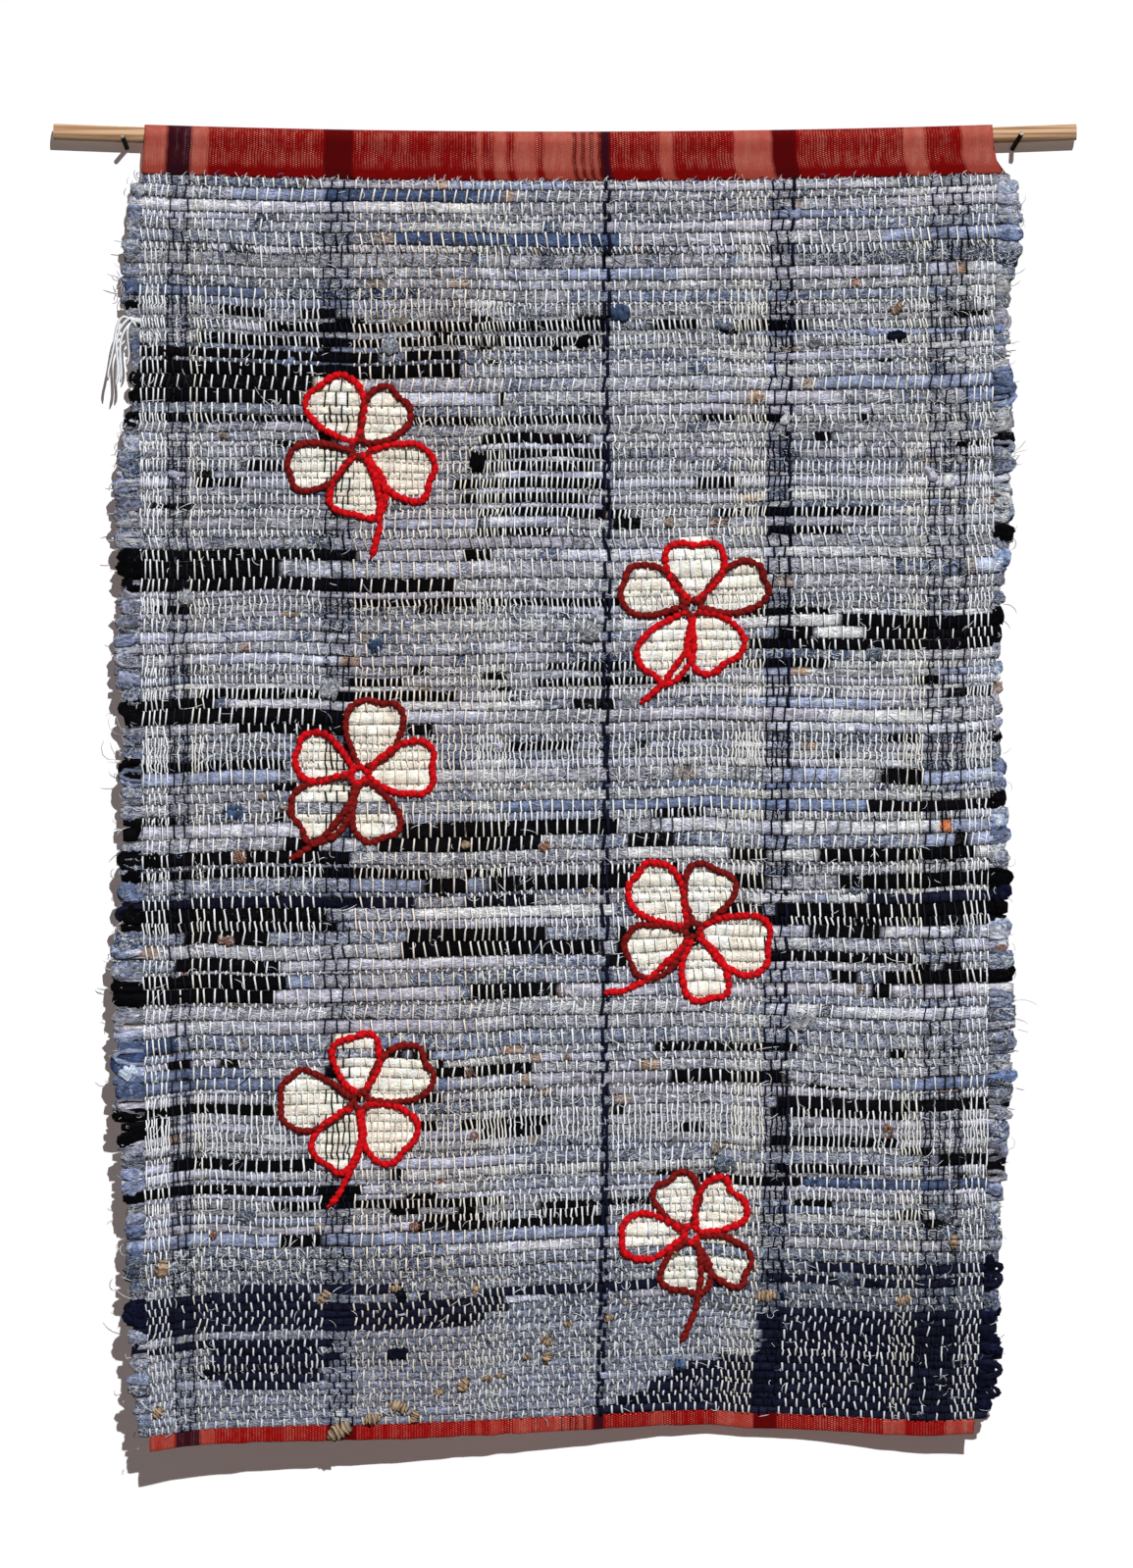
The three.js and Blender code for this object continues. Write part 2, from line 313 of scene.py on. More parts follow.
@dataclass
class Bundle:
    """Tubes of many lengths that become one mesh, with a flat map of their own."""

    name: str
    points: list[Array] = field(default_factory=list)
    colours: list[Array] = field(default_factory=list)
    lays: list[Array] = field(default_factory=list)
    shapes: list[tuple[int, int, int]] = field(default_factory=list)

    def add(self, rings: Array, colour: Array, lay: tuple[Any, ...] = (0, 0, 0)) -> None:
        """Adds tubes.

        Args:
            rings: the corners, as tubes by rings by sides by 3, in millimetres.
            colour: linear colours that fit the same shape.
            lay: what the finish reads, as three parts that fit tubes by rings by sides.
        """
        shape = rings.shape[:3]
        self.points.append(rings.reshape(-1, 3))
        self.colours.append(np.broadcast_to(colour, rings.shape).reshape(-1, 3))
        parts = [np.broadcast_to(part, shape) for part in lay]
        self.lays.append(np.stack(parts, -1).reshape(-1, 3))
        self.shapes.append(shape)

    def _faces(self) -> tuple[Array, Array, Array]:
        """Works the faces out, with a flat map in which no two overlap.

        Returns:
            The corner numbers, corner counts and map places of all faces.
        """
        # Tubes side by side on the map, tubes in all, and map rows each.
        bands = [(max(1, 240 // r), t, s + 1) for t, r, s in self.shapes]
        heights = np.array([math.ceil(t / m) * s for m, t, s in bands], float)
        tops = np.concatenate([[0], np.cumsum(heights)]) / heights.sum()
        corners, counts, places, first = [], [], [], 0
        for b, (tubes, rounds, sides) in enumerate(self.shapes):
            across = bands[b][0]
            t, r, s = np.indices((tubes, rounds - 1, sides))
            base, n = first + (t * rounds + r) * sides, (s + 1) % sides
            quad = [base + s, base + n, base + sides + n, base + sides + s]
            tall, wide = (tops[b + 1] - tops[b]) / math.ceil(tubes / across), 1 / across
            left, top = (t % across) * wide, tops[b] + (t // across) * tall

            def place(ring: Array, side: Array) -> Array:
                """Where a corner lies in its tube's cell of the map."""
                u = left + wide * (0.06 + 0.88 * ring / max(rounds - 1, 1))
                return np.stack([u, top + tall * (0.06 + 0.88 * side / sides)], -1)

            spot = [place(r, s), place(r, s + 1), place(r + 1, s + 1), place(r + 1, s)]
            corners.append(np.stack(quad, -1).reshape(-1))
            places.append(np.stack(spot, -2).reshape(-1, 2))
            counts.append(np.full(t.size, 4))
            # The two ends are closed with one face each, in the margins of the map.
            k, tube = np.arange(sides), np.arange(tubes)
            for ring, loop, u_mid in ((0, k[::-1], 0.03), (rounds - 1, k, 0.97)):
                face = first + (tube[:, None] * rounds + ring) * sides + loop
                angle = 2 * math.pi * loop / sides
                u = (tube % across)[:, None] * wide + wide * (u_mid + 0.02 * np.cos(angle))
                v = tops[b] + (tube // across)[:, None] * tall
                v = v + tall * (0.5 + 0.4 * np.sin(angle))
                corners.append(face.reshape(-1))
                places.append(np.stack([u, v], -1).reshape(-1, 2))
                counts.append(np.full(tubes, sides))
            first += tubes * rounds * sides
        return tuple(np.concatenate(a) for a in (corners, counts, places))

    def build(self, finish: Finish) -> Piece:
        """Makes the mesh.

        Args:
            finish: the material that it wears.

        Returns:
            The new piece, which sits at the origin.
        """
        points, (corners, counts, places) = np.concatenate(self.points) * MM, self._faces()
        mesh = bpy.data.meshes.new(self.name)
        mesh.vertices.add(len(points))
        mesh.vertices.foreach_set("co", points.astype(np.float32).ravel())
        mesh.loops.add(len(corners))
        mesh.loops.foreach_set("vertex_index", corners.astype(np.int32))
        mesh.polygons.add(len(counts))
        starts = np.concatenate([[0], np.cumsum(counts)[:-1]]).astype(np.int32)
        mesh.polygons.foreach_set("loop_start", starts)
        mesh.polygons.foreach_set("loop_total", counts.astype(np.int32))
        mesh.polygons.foreach_set("use_smooth", np.ones(len(counts), bool))
        # The dye attribute holds each corner's colour: its dye times the painted light and shade
        # that the rag rows, turns, stitching and red bands multiply in.
        dye = mesh.color_attributes.new("dye", "FLOAT_COLOR", "POINT")
        full = np.ones((len(points), 4), np.float32)
        full[:, :3] = np.concatenate(self.colours)
        dye.data.foreach_set("color", full.ravel())
        lay = mesh.attributes.new("lay", "FLOAT_VECTOR", "POINT")
        lay.data.foreach_set("vector", np.concatenate(self.lays).astype(np.float32).ravel())
        flat = mesh.uv_layers.new(name="OFBake")
        flat.data.foreach_set("uv", places.astype(np.float32).ravel())
        mesh.materials.append(finish)
        mesh.update(calc_edges=True)
        mesh.validate()
        piece = bpy.data.objects.new(self.name, mesh)
        bpy.context.scene.collection.objects.link(piece)
        LOG.info("%s: %d triangles", self.name, int((counts - 2).sum()))
        return piece


def rings_round(path: Array, radius: Any, sides: int, up: Array, turn: Array | float = 0) -> Array:
    """The corners of tubes along paths.

    Args:
        path: tubes by points by 3.
        radius: a radius that fits tubes by points, or a pair (out, across).
        sides: corners in a ring.
        up: the direction that counts as outward, one for all or one for each point.
        turn: how far each ring is turned, in radians.

    Returns:
        An array of tubes by points by sides by 3.
    """
    ahead = unit(np.gradient(path, axis=1))
    aside = unit(np.cross(ahead, up))
    out = np.cross(aside, ahead)
    a = (np.arange(sides) * 2 * math.pi / sides)[None, None, :]
    a = a + np.asarray(turn)[..., None]
    wide, tall = radius if isinstance(radius, tuple) else (radius, radius)
    wide = np.broadcast_to(wide, path.shape[:2])[..., None, None]
    tall = np.broadcast_to(tall, path.shape[:2])[..., None, None]
    return (
        path[:, :, None]
        + aside[:, :, None] * np.sin(a)[..., None] * tall
        + out[:, :, None] * np.cos(a)[..., None] * wide
    )


# ---- shader maths


def operator(operation: str, turned: bool = False) -> Callable[["Value", Any], "Value"]:
    """Makes an operator for values.

    Args:
        operation: what its Math node does.
        turned: whether the value comes second.

    Returns:
        The operator, which takes a value and a value or number.
    """

    def work(value: "Value", other: Any) -> "Value":
        """Adds the operator's node."""
        return value.maths(operation, *((other, value) if turned else (value, other)))

    return work


class Value:
    """A number that varies over a surface, worked with by Python's operators."""

    def __init__(self, nodes: "Nodes", socket: Any) -> None:
        """Wraps one socket."""
        self.nodes, self.socket = nodes, socket

    def maths(self, operation: str, *terms: Any) -> "Value":
        """Adds one Math node."""
        made = self.nodes.node("ShaderNodeMath", {"operation": operation}, dict(enumerate(terms)))
        return Value(self.nodes, made.outputs[0])

    __add__ = __radd__ = operator("ADD")
    __sub__, __rsub__ = operator("SUBTRACT"), operator("SUBTRACT", turned=True)
    __mul__ = __rmul__ = operator("MULTIPLY")
    either = operator("MAXIMUM")

    def __abs__(self) -> "Value":
        """The size of self."""
        return self.maths("ABSOLUTE", self)

    def cosine(self) -> "Value":
        """The cosine of self, in radians."""
        return self.maths("COSINE", self)

    def step(self, low: float, high: float) -> "Value":
        """A soft step from 0 at low to 1 at high."""
        soft = {"interpolation_type": "SMOOTHSTEP"}
        sockets = {0: self, 1: low, 2: high, 3: 0.0, 4: 1.0}
        return Value(self.nodes, self.nodes.node("ShaderNodeMapRange", soft, sockets).outputs[0])


class Nodes:
    """The nodes of one material or world."""

    def __init__(self, owner: Any) -> None:
        """Opens the owner's nodes."""
        owner.use_nodes = True
        self.tree = owner.node_tree

    def node(self, kind: str, settings: dict, sockets: dict) -> Any:
        """Adds a node.

        Args:
            kind: the node's type.
            settings: its properties, set first.
            sockets: its inputs, as numbers, colours, sockets or Values.

        Returns:
            The node.
        """
        made = self.tree.nodes.new(kind)
        for key, value in settings.items():
            setattr(made, key, value)
        for key, value in sockets.items():
            if isinstance(value, Value):
                value = value.socket
            if isinstance(value, bpy.types.NodeSocket):
                self.tree.links.new(value, made.inputs[key])
            else:
                made.inputs[key].default_value = value
        return made

    def ray(self, *kinds: str) -> list[Value]:
        """Whether the ray is of each of some kinds."""
        rays = self.node("ShaderNodeLightPath", {}, {}).outputs
        return [Value(self, rays[f"Is {kind} Ray"]) for kind in kinds]


class Look(Nodes):
    """A material that is built in code round one Principled shader."""

    def __init__(self, name: str, rough: float, metal: float = 0.0, shine: float = 0.3) -> None:
        """Starts a material.

        Args:
            name: its name.
            rough: its roughness, the same all over.
            metal: its metalness, the same all over.
            shine: its specular level.
        """
        self.material = bpy.data.materials.new(name)
        super().__init__(self.material)
        self.shader = self.tree.nodes["Principled BSDF"]
        self.shader.inputs["Roughness"].default_value = rough
        self.shader.inputs["Metallic"].default_value = metal
        self.shader.inputs["Specular IOR Level"].default_value = shine

    def stretch(self, at: Any, across: float, deep: float, tall: float) -> Any:
        """Places of a pattern, stretched by a factor along each axis."""
        sockets = {"Vector": at, "Scale": (across, deep, tall)}
        return self.node("ShaderNodeMapping", {}, sockets).outputs[0]

    def place(self, across: float, deep: float, tall: float) -> Any:
        """Object coordinates, stretched by a factor along each axis."""
        at = self.node("ShaderNodeTexCoord", {}, {}).outputs["Object"]
        return self.stretch(at, across, deep, tall)

    def noise(self, place: Any, scale: float, detail: float = 2.0, bend: float = 0.0) -> Value:
        """A cloudy value from 0 to 1."""
        sockets = {"Vector": place, "Scale": scale, "Detail": detail, "Distortion": bend}
        return Value(self, self.node("ShaderNodeTexNoise", {}, sockets).outputs[0])

    def attribute(self, name: str, kind: str = "Color") -> Any:
        """One of the mesh's own attributes, as a colour or as a vector."""
        return self.node("ShaderNodeAttribute", {"attribute_name": name}, {}).outputs[kind]

    def parts(self, vector: Any) -> list[Value]:
        """The three parts of a vector."""
        made = self.node("ShaderNodeSeparateXYZ", {}, {0: vector})
        return [Value(self, socket) for socket in made.outputs]

    def mix(self, share: Any, first: Any, second: Any, way: str = "MIX") -> Any:
        """Mixes two colours and gives the socket."""
        settings = {"data_type": "RGBA", "blend_type": way}
        return self.node("ShaderNodeMix", settings, {0: share, 6: first, 7: second}).outputs[2]

    def grey(self, value: Value) -> Any:
        """A value as a grey colour's socket."""
        return self.node("ShaderNodeCombineXYZ", {}, {0: value, 1: value, 2: value}).outputs[0]

    def finish(self, colour: Any, relief: Value, deep: float, strength: float = 1.0) -> Finish:
        """Joins a colour and a relief to the shader.

        Args:
            colour: the base colour's socket.
            relief: the height of the fine relief, 0 to 1.
            deep: how deep the relief is, in metres.
            strength: how strongly it shows.

        Returns:
            The material.
        """
        sockets = {"Strength": strength, "Distance": deep, "Height": relief}
        bump = self.node("ShaderNodeBump", {}, sockets)
        self.tree.links.new(colour, self.shader.inputs["Base Color"])
        self.tree.links.new(bump.outputs[0], self.shader.inputs["Normal"])
        return self.material


def tone(red: float, green: float, blue: float) -> tuple[float, ...]:
    """A colour as seen on a screen, 0 to 255 each, as a socket takes it."""
    return (*[float(c) for c in shade(red, green, blue)], 1.0)


# ---- finishes


@dataclass(frozen=True)
class RagFinish:
    """Torn denim: the dye, its faded speckle, long creases with painted shade in them, darker blue
    patches and pale threads that work loose.
    """

    name: str = "torn_denim"
    thread: tuple[float, float, float] = (240, 242, 244)
    indigo_and_shade: tuple[float, float, float] = (92, 102, 126)

    def make(self) -> Finish:
        """Builds the material.

        Returns:
            The material.
        """
        look = Look(self.name, 0.95, shine=0.04)
        dye, lay = look.attribute("dye"), look.attribute("lay", "Vector")
        fray = look.parts(lay)[0]
        creases = look.noise(look.stretch(lay, 0, 1.1, 0.055), 1.5, 1.0, 0.5)
        crease = 1 - abs(creases - 0.5).step(0.008, 0.055)
        folds = look.noise(look.stretch(lay, 0, 1.7, 0.16), 1.5, 0.6, 0.9)
        fold = 1 - abs(folds - 0.47).step(0.008, 0.060)
        speck = look.noise(look.place(0.7, 1, 1), 640.0, 3.0)
        mottle = look.noise(look.place(0.7, 1, 1), 120.0, 2.0)
        wear_and_shade = look.grey(0.65 * speck + 1.35 * mottle + 0.15)
        colour = look.mix(1.0, dye, wear_and_shade, "MULTIPLY")
        # deep is the darker blue that the lines below mix in: painted shade along the crease and
        # fold lines and in the hollows between the creases, more where the rag is frayed, and
        # darker blue patches in frayed parts.
        deep = look.mix(1.0, colour, tone(*self.indigo_and_shade), "MULTIPLY")
        torn = 0.15 + 0.85 * fray
        blue = look.noise(look.place(0.5, 1, 1), 100.0, 1.5).step(0.44, 0.62)
        hollow = 1 - creases.step(0.34, 0.58)
        crease_shade_and_blue = (crease * 0.7 + fold * 0.7 + hollow * 0.42) * torn + blue * fray * 0.38
        colour = look.mix(crease_shade_and_blue.step(0.0, 1.0) * 0.92, colour, deep)
        curls = look.noise(look.place(0.7, 1.0, 1.0), 78.0, 0.6, 1.7)
        more = look.noise(look.place(1.0, 1.0, 0.75), 112.0, 0.6, 1.9)
        strands = look.noise(look.stretch(lay, 0, 2.4, 0.06), 1.5, 1.0, 0.9)
        line = 1 - abs(curls - 0.5).step(0.010, 0.028)
        second = 1 - abs(more - 0.46).step(0.010, 0.028)
        strand = 1 - abs(strands - 0.5).step(0.008, 0.030)
        pale = (line + second + strand * 0.8) * fray.step(0.1, 0.9)
        colour = look.mix(pale.step(0.1, 1.0) * 0.9, colour, tone(*self.thread))
        furrows = (creases * 0.9 - crease * 0.35 - fold * 0.3) * (0.3 + 0.7 * fray)
        relief = furrows + speck * 0.3 + pale * 0.25
        return look.finish(colour, relief, 0.0028)


@dataclass(frozen=True)
class YarnFinish:
    """Cotton yarn, from the warp or the stitching, with its fine fuzz."""

    name: str
    fuzz: float = 900.0
    deep: float = 0.0005
    shine: float = 0.05

    def make(self) -> Finish:
        """Builds the material.

        Returns:
            The material.
        """
        look = Look(self.name, 0.9, shine=self.shine)
        dye = look.attribute("dye")
        speck = look.noise(look.place(1, 1, 0.5), self.fuzz, 2.0)
        colour = look.mix(1.0, dye, look.grey(0.86 + 0.36 * speck), "MULTIPLY")
        return look.finish(colour, speck, self.deep)


@dataclass(frozen=True)
class HeadingFinish:
    """Close red weft over single warp ends, which show as dots between its rows."""

    name: str = "red_weft"
    pitch_up: float = 0.92

    def make(self) -> Finish:
        """Builds the material.

        Returns:
            The material.
        """
        look = Look(self.name, 0.85, shine=0.08)
        dye, thread = look.attribute("dye"), look.attribute("thread")
        across, up, show = look.parts(look.attribute("lay", "Vector"))
        loose = look.noise(look.place(1, 1, 1), 260.0, 2.0)
        cloud = look.noise(look.place(1, 1, 0.10), 170.0, 2.0)
        drift = (loose - 0.5) * 0.6
        ends = (across * math.pi + drift).cosine()
        rows = (up * (math.pi / self.pitch_up) + drift).cosine()
        fine = (across * (2 * math.pi) + drift).cosine()
        fine = fine * (up * (2 * math.pi / self.pitch_up) + drift).cosine()
        close = show.step(0.5, 0.65)
        grid = ends * rows * (1 - close) + fine * close
        grid = grid + (loose - 0.5) * 0.8 + (cloud - 0.5) * 1.6
        dots = (grid + show - 0.74).step(0.05, 0.50) * show.step(0.05, 0.34)
        speck = look.noise(look.place(1, 1, 1), 1100.0, 2.0)
        base = look.mix(1.0, dye, look.grey(0.55 + 0.85 * speck), "MULTIPLY")
        colour = look.mix(dots, base, thread)
        crease = 1 - abs(rows).step(0.0, 0.45)
        furrow = 1 - abs(ends).step(0.0, 0.40)
        shaded = (crease * 0.35 + furrow * 0.22) * (1 - show * 0.5)
        colour = look.mix(shaded, colour, tone(40, 2, 4))
        relief = abs(rows) * 0.55 + dots * 0.35 + speck * 0.1
        return look.finish(colour, relief, 0.0009)


@dataclass(frozen=True)
class PineFinish:
    """Bare planed pine with its grain running along the dowel."""

    name: str = "pine_grain"

    def make(self) -> Finish:
        """Builds the material.

        Returns:
            The material.
        """
        look = Look(self.name, 0.52)
        bands = look.noise(look.place(0.012, 1.0, 1.0), 210.0, 3.0, 0.5)
        fibre = look.noise(look.place(0.03, 1.0, 1.0), 900.0, 2.0)
        late = bands.step(0.46, 0.62)
        pale, dark = tone(202, 167, 131), tone(160, 113, 74)
        colour = look.mix(late, pale, dark)
        colour = look.mix(1.0, colour, look.grey(0.82 + 0.36 * fibre), "MULTIPLY")
        return look.finish(colour, fibre * 0.6 + late * 0.4, 0.0003, 0.6)


@dataclass(frozen=True)
class SteelFinish:
    """Dull drawn wire."""

    name: str = "nail_wire"

    def make(self) -> Finish:
        """Builds the material.

        Returns:
            The material.
        """
        look = Look(self.name, 0.42, 1.0)
        stain = look.noise(look.place(1, 1, 1), 900.0, 3.0)
        bright, dull = tone(120, 110, 98), tone(70, 60, 52)
        colour = look.mix(stain.step(0.35, 0.7), bright, dull)
        return look.finish(colour, stain, 0.0002)


@dataclass(frozen=True)
class Dresses:
    """The finishes, built once."""

    rag: Finish
    warp: Finish
    yarn: Finish
    fuzz: Finish
    heading: Finish
    pine: Finish
    steel: Finish

    @classmethod
    def make(cls) -> "Dresses":
        """Builds all the finishes.

        Returns:
            The set of them.
        """
        return cls(
            RagFinish().make(),
            YarnFinish("cotton_warp").make(),
            YarnFinish("stitched_wool", 520.0, 0.0011).make(),
            YarnFinish("loose_thread").make(),
            HeadingFinish().make(),
            PineFinish().make(),
            SteelFinish().make(),
        )


# ---- colours


class Dye(Enum):
    """A colour as it looks in plain light, 0 to 255 each."""

    @property
    def light(self) -> Array:
        """The colour as linear light."""
        return shade(*self.value)


class Denim(Dye):
    """The faded denims."""

    PALE = (216, 220, 228)
    LIGHT = (190, 197, 211)
    MID = (144, 157, 178)
    GREY = (176, 178, 185)
    SLATE = (108, 124, 149)
    DEEP = (66, 84, 113)
    HILL = (148, 159, 180)
    NAVY = (20, 23, 39)
    BLACK = (8, 7, 9)
    DUST = (178, 152, 126)
    RUST = (176, 104, 62)
    CREAM = (250, 240, 223)


class Yarn(Dye):
    """The warp and thread colours."""

    WHITE = (241, 243, 246)
    PEACH = (243, 232, 222)
    CREAM = (243, 241, 233)
    NAVY = (18, 22, 40)
    INK = (30, 32, 42)
    BLUE = (120, 138, 176)
    HAZE = (204, 212, 226)


class Red(Dye):
    """The reds of the heading, the foot and the stitching."""

    PLAIN = (157, 4, 4)
    SALMON = (212, 92, 76)
    MAROON = (102, 0, 2)
    PURPLE = (56, 10, 24)
    BRIGHT = (206, 18, 26)
    OXBLOOD = (122, 26, 24)
    BLUSH = (240, 152, 132)
    ROSE = (230, 140, 124)
    DUSK = (150, 100, 108)


class Streak(NamedTuple):
    """A thin row that is dark in places: its height on the cloth and its dark spans."""

    down: float
    tall: float
    spans: tuple[tuple[float, float], ...]
    navy: bool


class Patch(NamedTuple):
    """A block of rows of one dye: from top to low, and between two places across."""

    top: float
    low: float
    left: float
    right: float
    dye: Denim
    fray: float
    share: float = 1.0


NAVY_STREAKS = (702, 1061, 1074, 1083)
# How far down, how tall, then where each dark span starts and stops.
STREAKS = [Streak(down, tall, (*zip(ends[::2], ends[1::2]),), down in NAVY_STREAKS)
           for down, tall, *ends in (
    (130, 9, -445, -414, -345, -292), (144, 9, -300, 35, 85, 125, 160, 235),
    (158, 9, -370, 30, 310, 330), (172, 9, -430, -185, -160, -112), (186.5, 13, -440, -110),
    (200, 13, -440, -212), (214, 13, -440, -188), (234, 7.5, -420, 35),
    (252, 9, -240, -190, -92, 34, 198, 212, 232, 250), (267, 9, -92, 34),
    (280, 9.5, -322, -180, -100, 34), (296, 9.5, -360, -312, -108, 34), (311, 8, -105, 20),
    (325, 8, -85, 62, 150, 300), (344, 8, -90, -10, 195, 268, 412, 445),
    (365, 11, -445, -205, -105, -85), (380, 15, -436, -285), (394.5, 11, -436, -105),
    (410, 7.5, -212, 122), (424, 6.5, 60, 262), (434, 11, 265, 425), (445, 10, 282, 425),
    (455.5, 10, 85, 425), (475, 8, -32, 255), (490.5, 7.5, -222, -160, -35, 125, 345, 365),
    (503, 8.5, -378, -118), (513, 8, -445, -345), (525, 11, -445, -200), (537, 8, -320, -130),
    (553, 8, -262, -198, -60, 3), (570, 9, -428, -275), (592, 7, -290, -262), (611, 11, 285, 432),
    (622, 7, -410, -385, -290, -180, 85, 140), (634, 11, -200, 60),
    (648, 11, -285, -230, -190, -22, 60, 100), (660, 11, -430, -205, 245, 395),
    (674, 9, -445, -130, -100, -58, 35, 110), (687, 11, -155, -88, -78, 192, 262, 400),
    (702, 10, -445, -425, -400, -150, -92, -30, 295, 430),
    (713.5, 11, -405, -225, 75, 190, 200, 430), (724, 9, -430, -225, 80, 430),
    (736, 9, -380, -285, -165, -20, 40, 190, 222, 305),
    (748, 12, -160, 30, 45, 105), (760, 9, -385, -275, 35, 90, 100, 345),
    (778, 12, -445, -282, 255, 290, 300, 432), (791, 12, -445, -285, -100, -15, 290, 320),
    (850, 8, 80, 222), (866.5, 10, -240, -35), (879, 9, 95, 210), (892, 9, -262, -120),
    (902, 10, -445, -265, 205, 432), (911, 8, -445, -380, 200, 332),
    (920, 9, -445, -385, -245, -135, -112, -20), (930, 8, -88, -12, 100, 140), (939, 9, 195, 322),
    (955, 11, -385, -245, 350, 425), (966, 8, 202, 310, 408, 425), (979, 9, -440, -205, 95, 228),
    (993, 8, -300, -98), (1000.5, 6, -30, 95), (1007.5, 8, -150, -85, -35, 25),
    (1016, 8, -148, 30), (1061, 9, 238, 432), (1074, 8, -330, -160, 190, 420),
    (1083, 8, -425, -250, -150, -138, -95, 180),
)]
PATCHES = [Patch(*row[:4], Denim[row[4]], *row[5:]) for row in (
    (177, 186, -290, -160, "SLATE", 0.6), (190, 230, -280, -90, "DEEP", 0.9, 0.6),
    (243, 330, -90, 34, "LIGHT", 0.3, 0.9), (640, 700, -60, 180, "GREY", 0.9, 0.6),
    (1036, 1220, -440, 190, "MID", 0.9, 0.7), (1036, 1112, -440, -130, "SLATE", 0.9, 0.75),
    (1040, 1101, 120, 440, "SLATE", 0.8, 0.75), (1095, 1140, -230, 60, "SLATE", 0.9, 0.35),
    (1112, 1225, -400, 175, "HILL", 1.0, 0.9), (1087, 1118, -440, -150, "NAVY", 0.2),
    (1087, 1098, -150, -60, "NAVY", 0.3, 0.7), (1103, 1113, -150, -85, "NAVY", 0.3, 0.8),
    (1119, 1127, -430, -230, "NAVY", 0.2), (1127, 1162, -350, -228, "NAVY", 0.2),
    (1127, 1142, -228, -150, "NAVY", 0.4, 0.7), (1162, 1170, -340, -250, "NAVY", 0.3),
    (1101, 1225, 188, 440, "NAVY", 0.2),
)]
# How pale the rags are at six places across, from the heading down.
PALE_AT = np.array([-440.0, -230.0, -100.0, 20.0, 200.0, 440.0])
PALE_DOWN = (0, 60, 130, 520, 640, 1030, 1045, 1108, 1120, 1225)
PALE = [
    (1.02, 0.98, 1.34, 1.12, 1.12, 1.10),
    (1.04, 1.00, 1.30, 1.14, 1.24, 1.20),
    (0.98, 1.00, 1.12, 1.18, 1.36, 1.38),
    (1.02, 1.05, 1.24, 1.22, 1.46, 1.56),
    (1.02, 1.05, 1.22, 1.22, 1.40, 1.46),
    (0.98, 1.04, 1.06, 1.10, 1.18, 1.12),
    (0.76, 0.82, 0.92, 0.94, 0.82, 0.74),
    (0.58, 0.66, 0.92, 0.94, 0.60, 0.52),
    (1.00, 1.06, 1.10, 1.08, 1.04, 1.00),
    (1.00, 1.08, 1.12, 1.06, 1.00, 0.96),
]
WEDGE_AT = (1146, 1155, 1172, 1195, 1205, 1215)
WEDGE_LEFT = (185, 140, 85, 50, 25, -40)
# How often each dye is torn for a rag, and how far the creases move on to the next rag.
RAGS = {
    Denim.PALE: 0.18,
    Denim.LIGHT: 0.36,
    Denim.MID: 0.17,
    Denim.GREY: 0.2,
    Denim.SLATE: 0.07,
    Denim.DEEP: 0.03,
}
NEXT_RAG = 7.3


# ---- flowers


@dataclass(frozen=True)
class Flower:
    """A plain five-petalled blossom with a short stem, stitched round in thick yarn."""

    x: float
    down: float
    turn: float
    petal: float = 74.0
    wide: float = 33.0
    first: Red = Red.BRIGHT
    second: Red = Red.OXBLOOD

    def _grown(self, k: int) -> tuple[float, float, float]:
        """Grows a petal.

        Args:
            k: which petal.

        Returns:
            Its length, half its width, and the way that it points.
        """
        size = 1 + 0.10 * math.sin(2.4 * k + self.turn * 5)
        girth = 1 + 0.12 * math.sin(3.7 * k + self.turn * 9)
        aim = self.turn + 2 * math.pi * k / 5 + 0.10 * math.sin(4.1 * k + self.x)
        return self.petal * size, self.wide * girth, aim

    def _petal(self, k: int, steps: int = 61) -> Array:
        """Draws a petal.

        Args:
            k: which petal.
            steps: how many points its outline has.

        Returns:
            The outline, as points (x, down).
        """
        long, wide, aim = self._grown(k)
        a = np.linspace(0, 2 * math.pi, steps)
        far = long * (0.08 + 0.92 * (1 - np.cos(a)) / 2)
        out = wide * np.sin(a) * np.sin(a / 2) ** 0.9
        far = far - 0.06 * long * np.exp(-(((a - math.pi) / 0.3) ** 2))
        far = far + 1.6 * np.sin(3 * a + 2.0 * k + self.turn) * np.sin(a / 2)
        c, s = math.cos(aim), math.sin(aim)
        return np.stack([self.x + far * c - out * s, self.down + far * s + out * c], -1)

    def _stem(self) -> Array:
        """Draws the stem, which leaves by the gap that points most nearly down.

        Returns:
            Its line, as points (x, down).
        """
        gaps = [self.turn + math.pi / 5 * (2 * k + 1) for k in range(5)]
        start = max(gaps, key=math.sin)
        t = np.linspace(0, 1, 25)
        bend = start + 0.5 * t
        r = 6 + 100 * t
        return np.stack([self.x + r * np.cos(bend), self.down + r * np.sin(bend)], -1)

    def cords(self) -> list[tuple[Array, Red]]:
        """Gathers the stitched lines.

        Returns:
            The petals', the centre ring's and the stem's, each with its colour.
        """
        a = np.linspace(0, 2 * math.pi, 25)
        ring = np.stack([self.x + 8 * np.cos(a), self.down + 8 * np.sin(a)], -1)
        lines = [(self._petal(k), self.second if k in (2, 4) else self.first) for k in range(5)]
        return [*lines, (ring, self.second), (self._stem(), self.first)]

    def covers(self, x: Array, down: Array) -> Array:
        """Finds what the petals cover.

        Args:
            x: places across.
            down: how far down they are.

        Returns:
            Whether each place lies in a petal.
        """
        dx, dy = x - self.x, down - self.down
        inside = np.zeros(np.shape(x), bool)
        a = np.linspace(0.05, math.pi, 40)
        for k in range(5):
            long, wide, aim = self._grown(k)
            c, s = math.cos(aim), math.sin(aim)
            far, out = dx * c + dy * s, np.abs(-dx * s + dy * c)
            reach = long * (0.08 + 0.92 * (1 - np.cos(a)) / 2)
            width = wide * np.sin(a) * np.sin(a / 2) ** 0.9
            inside |= (far > 0) & (far < reach[-1] - 3) & (out < np.interp(far, reach, width))
        return inside


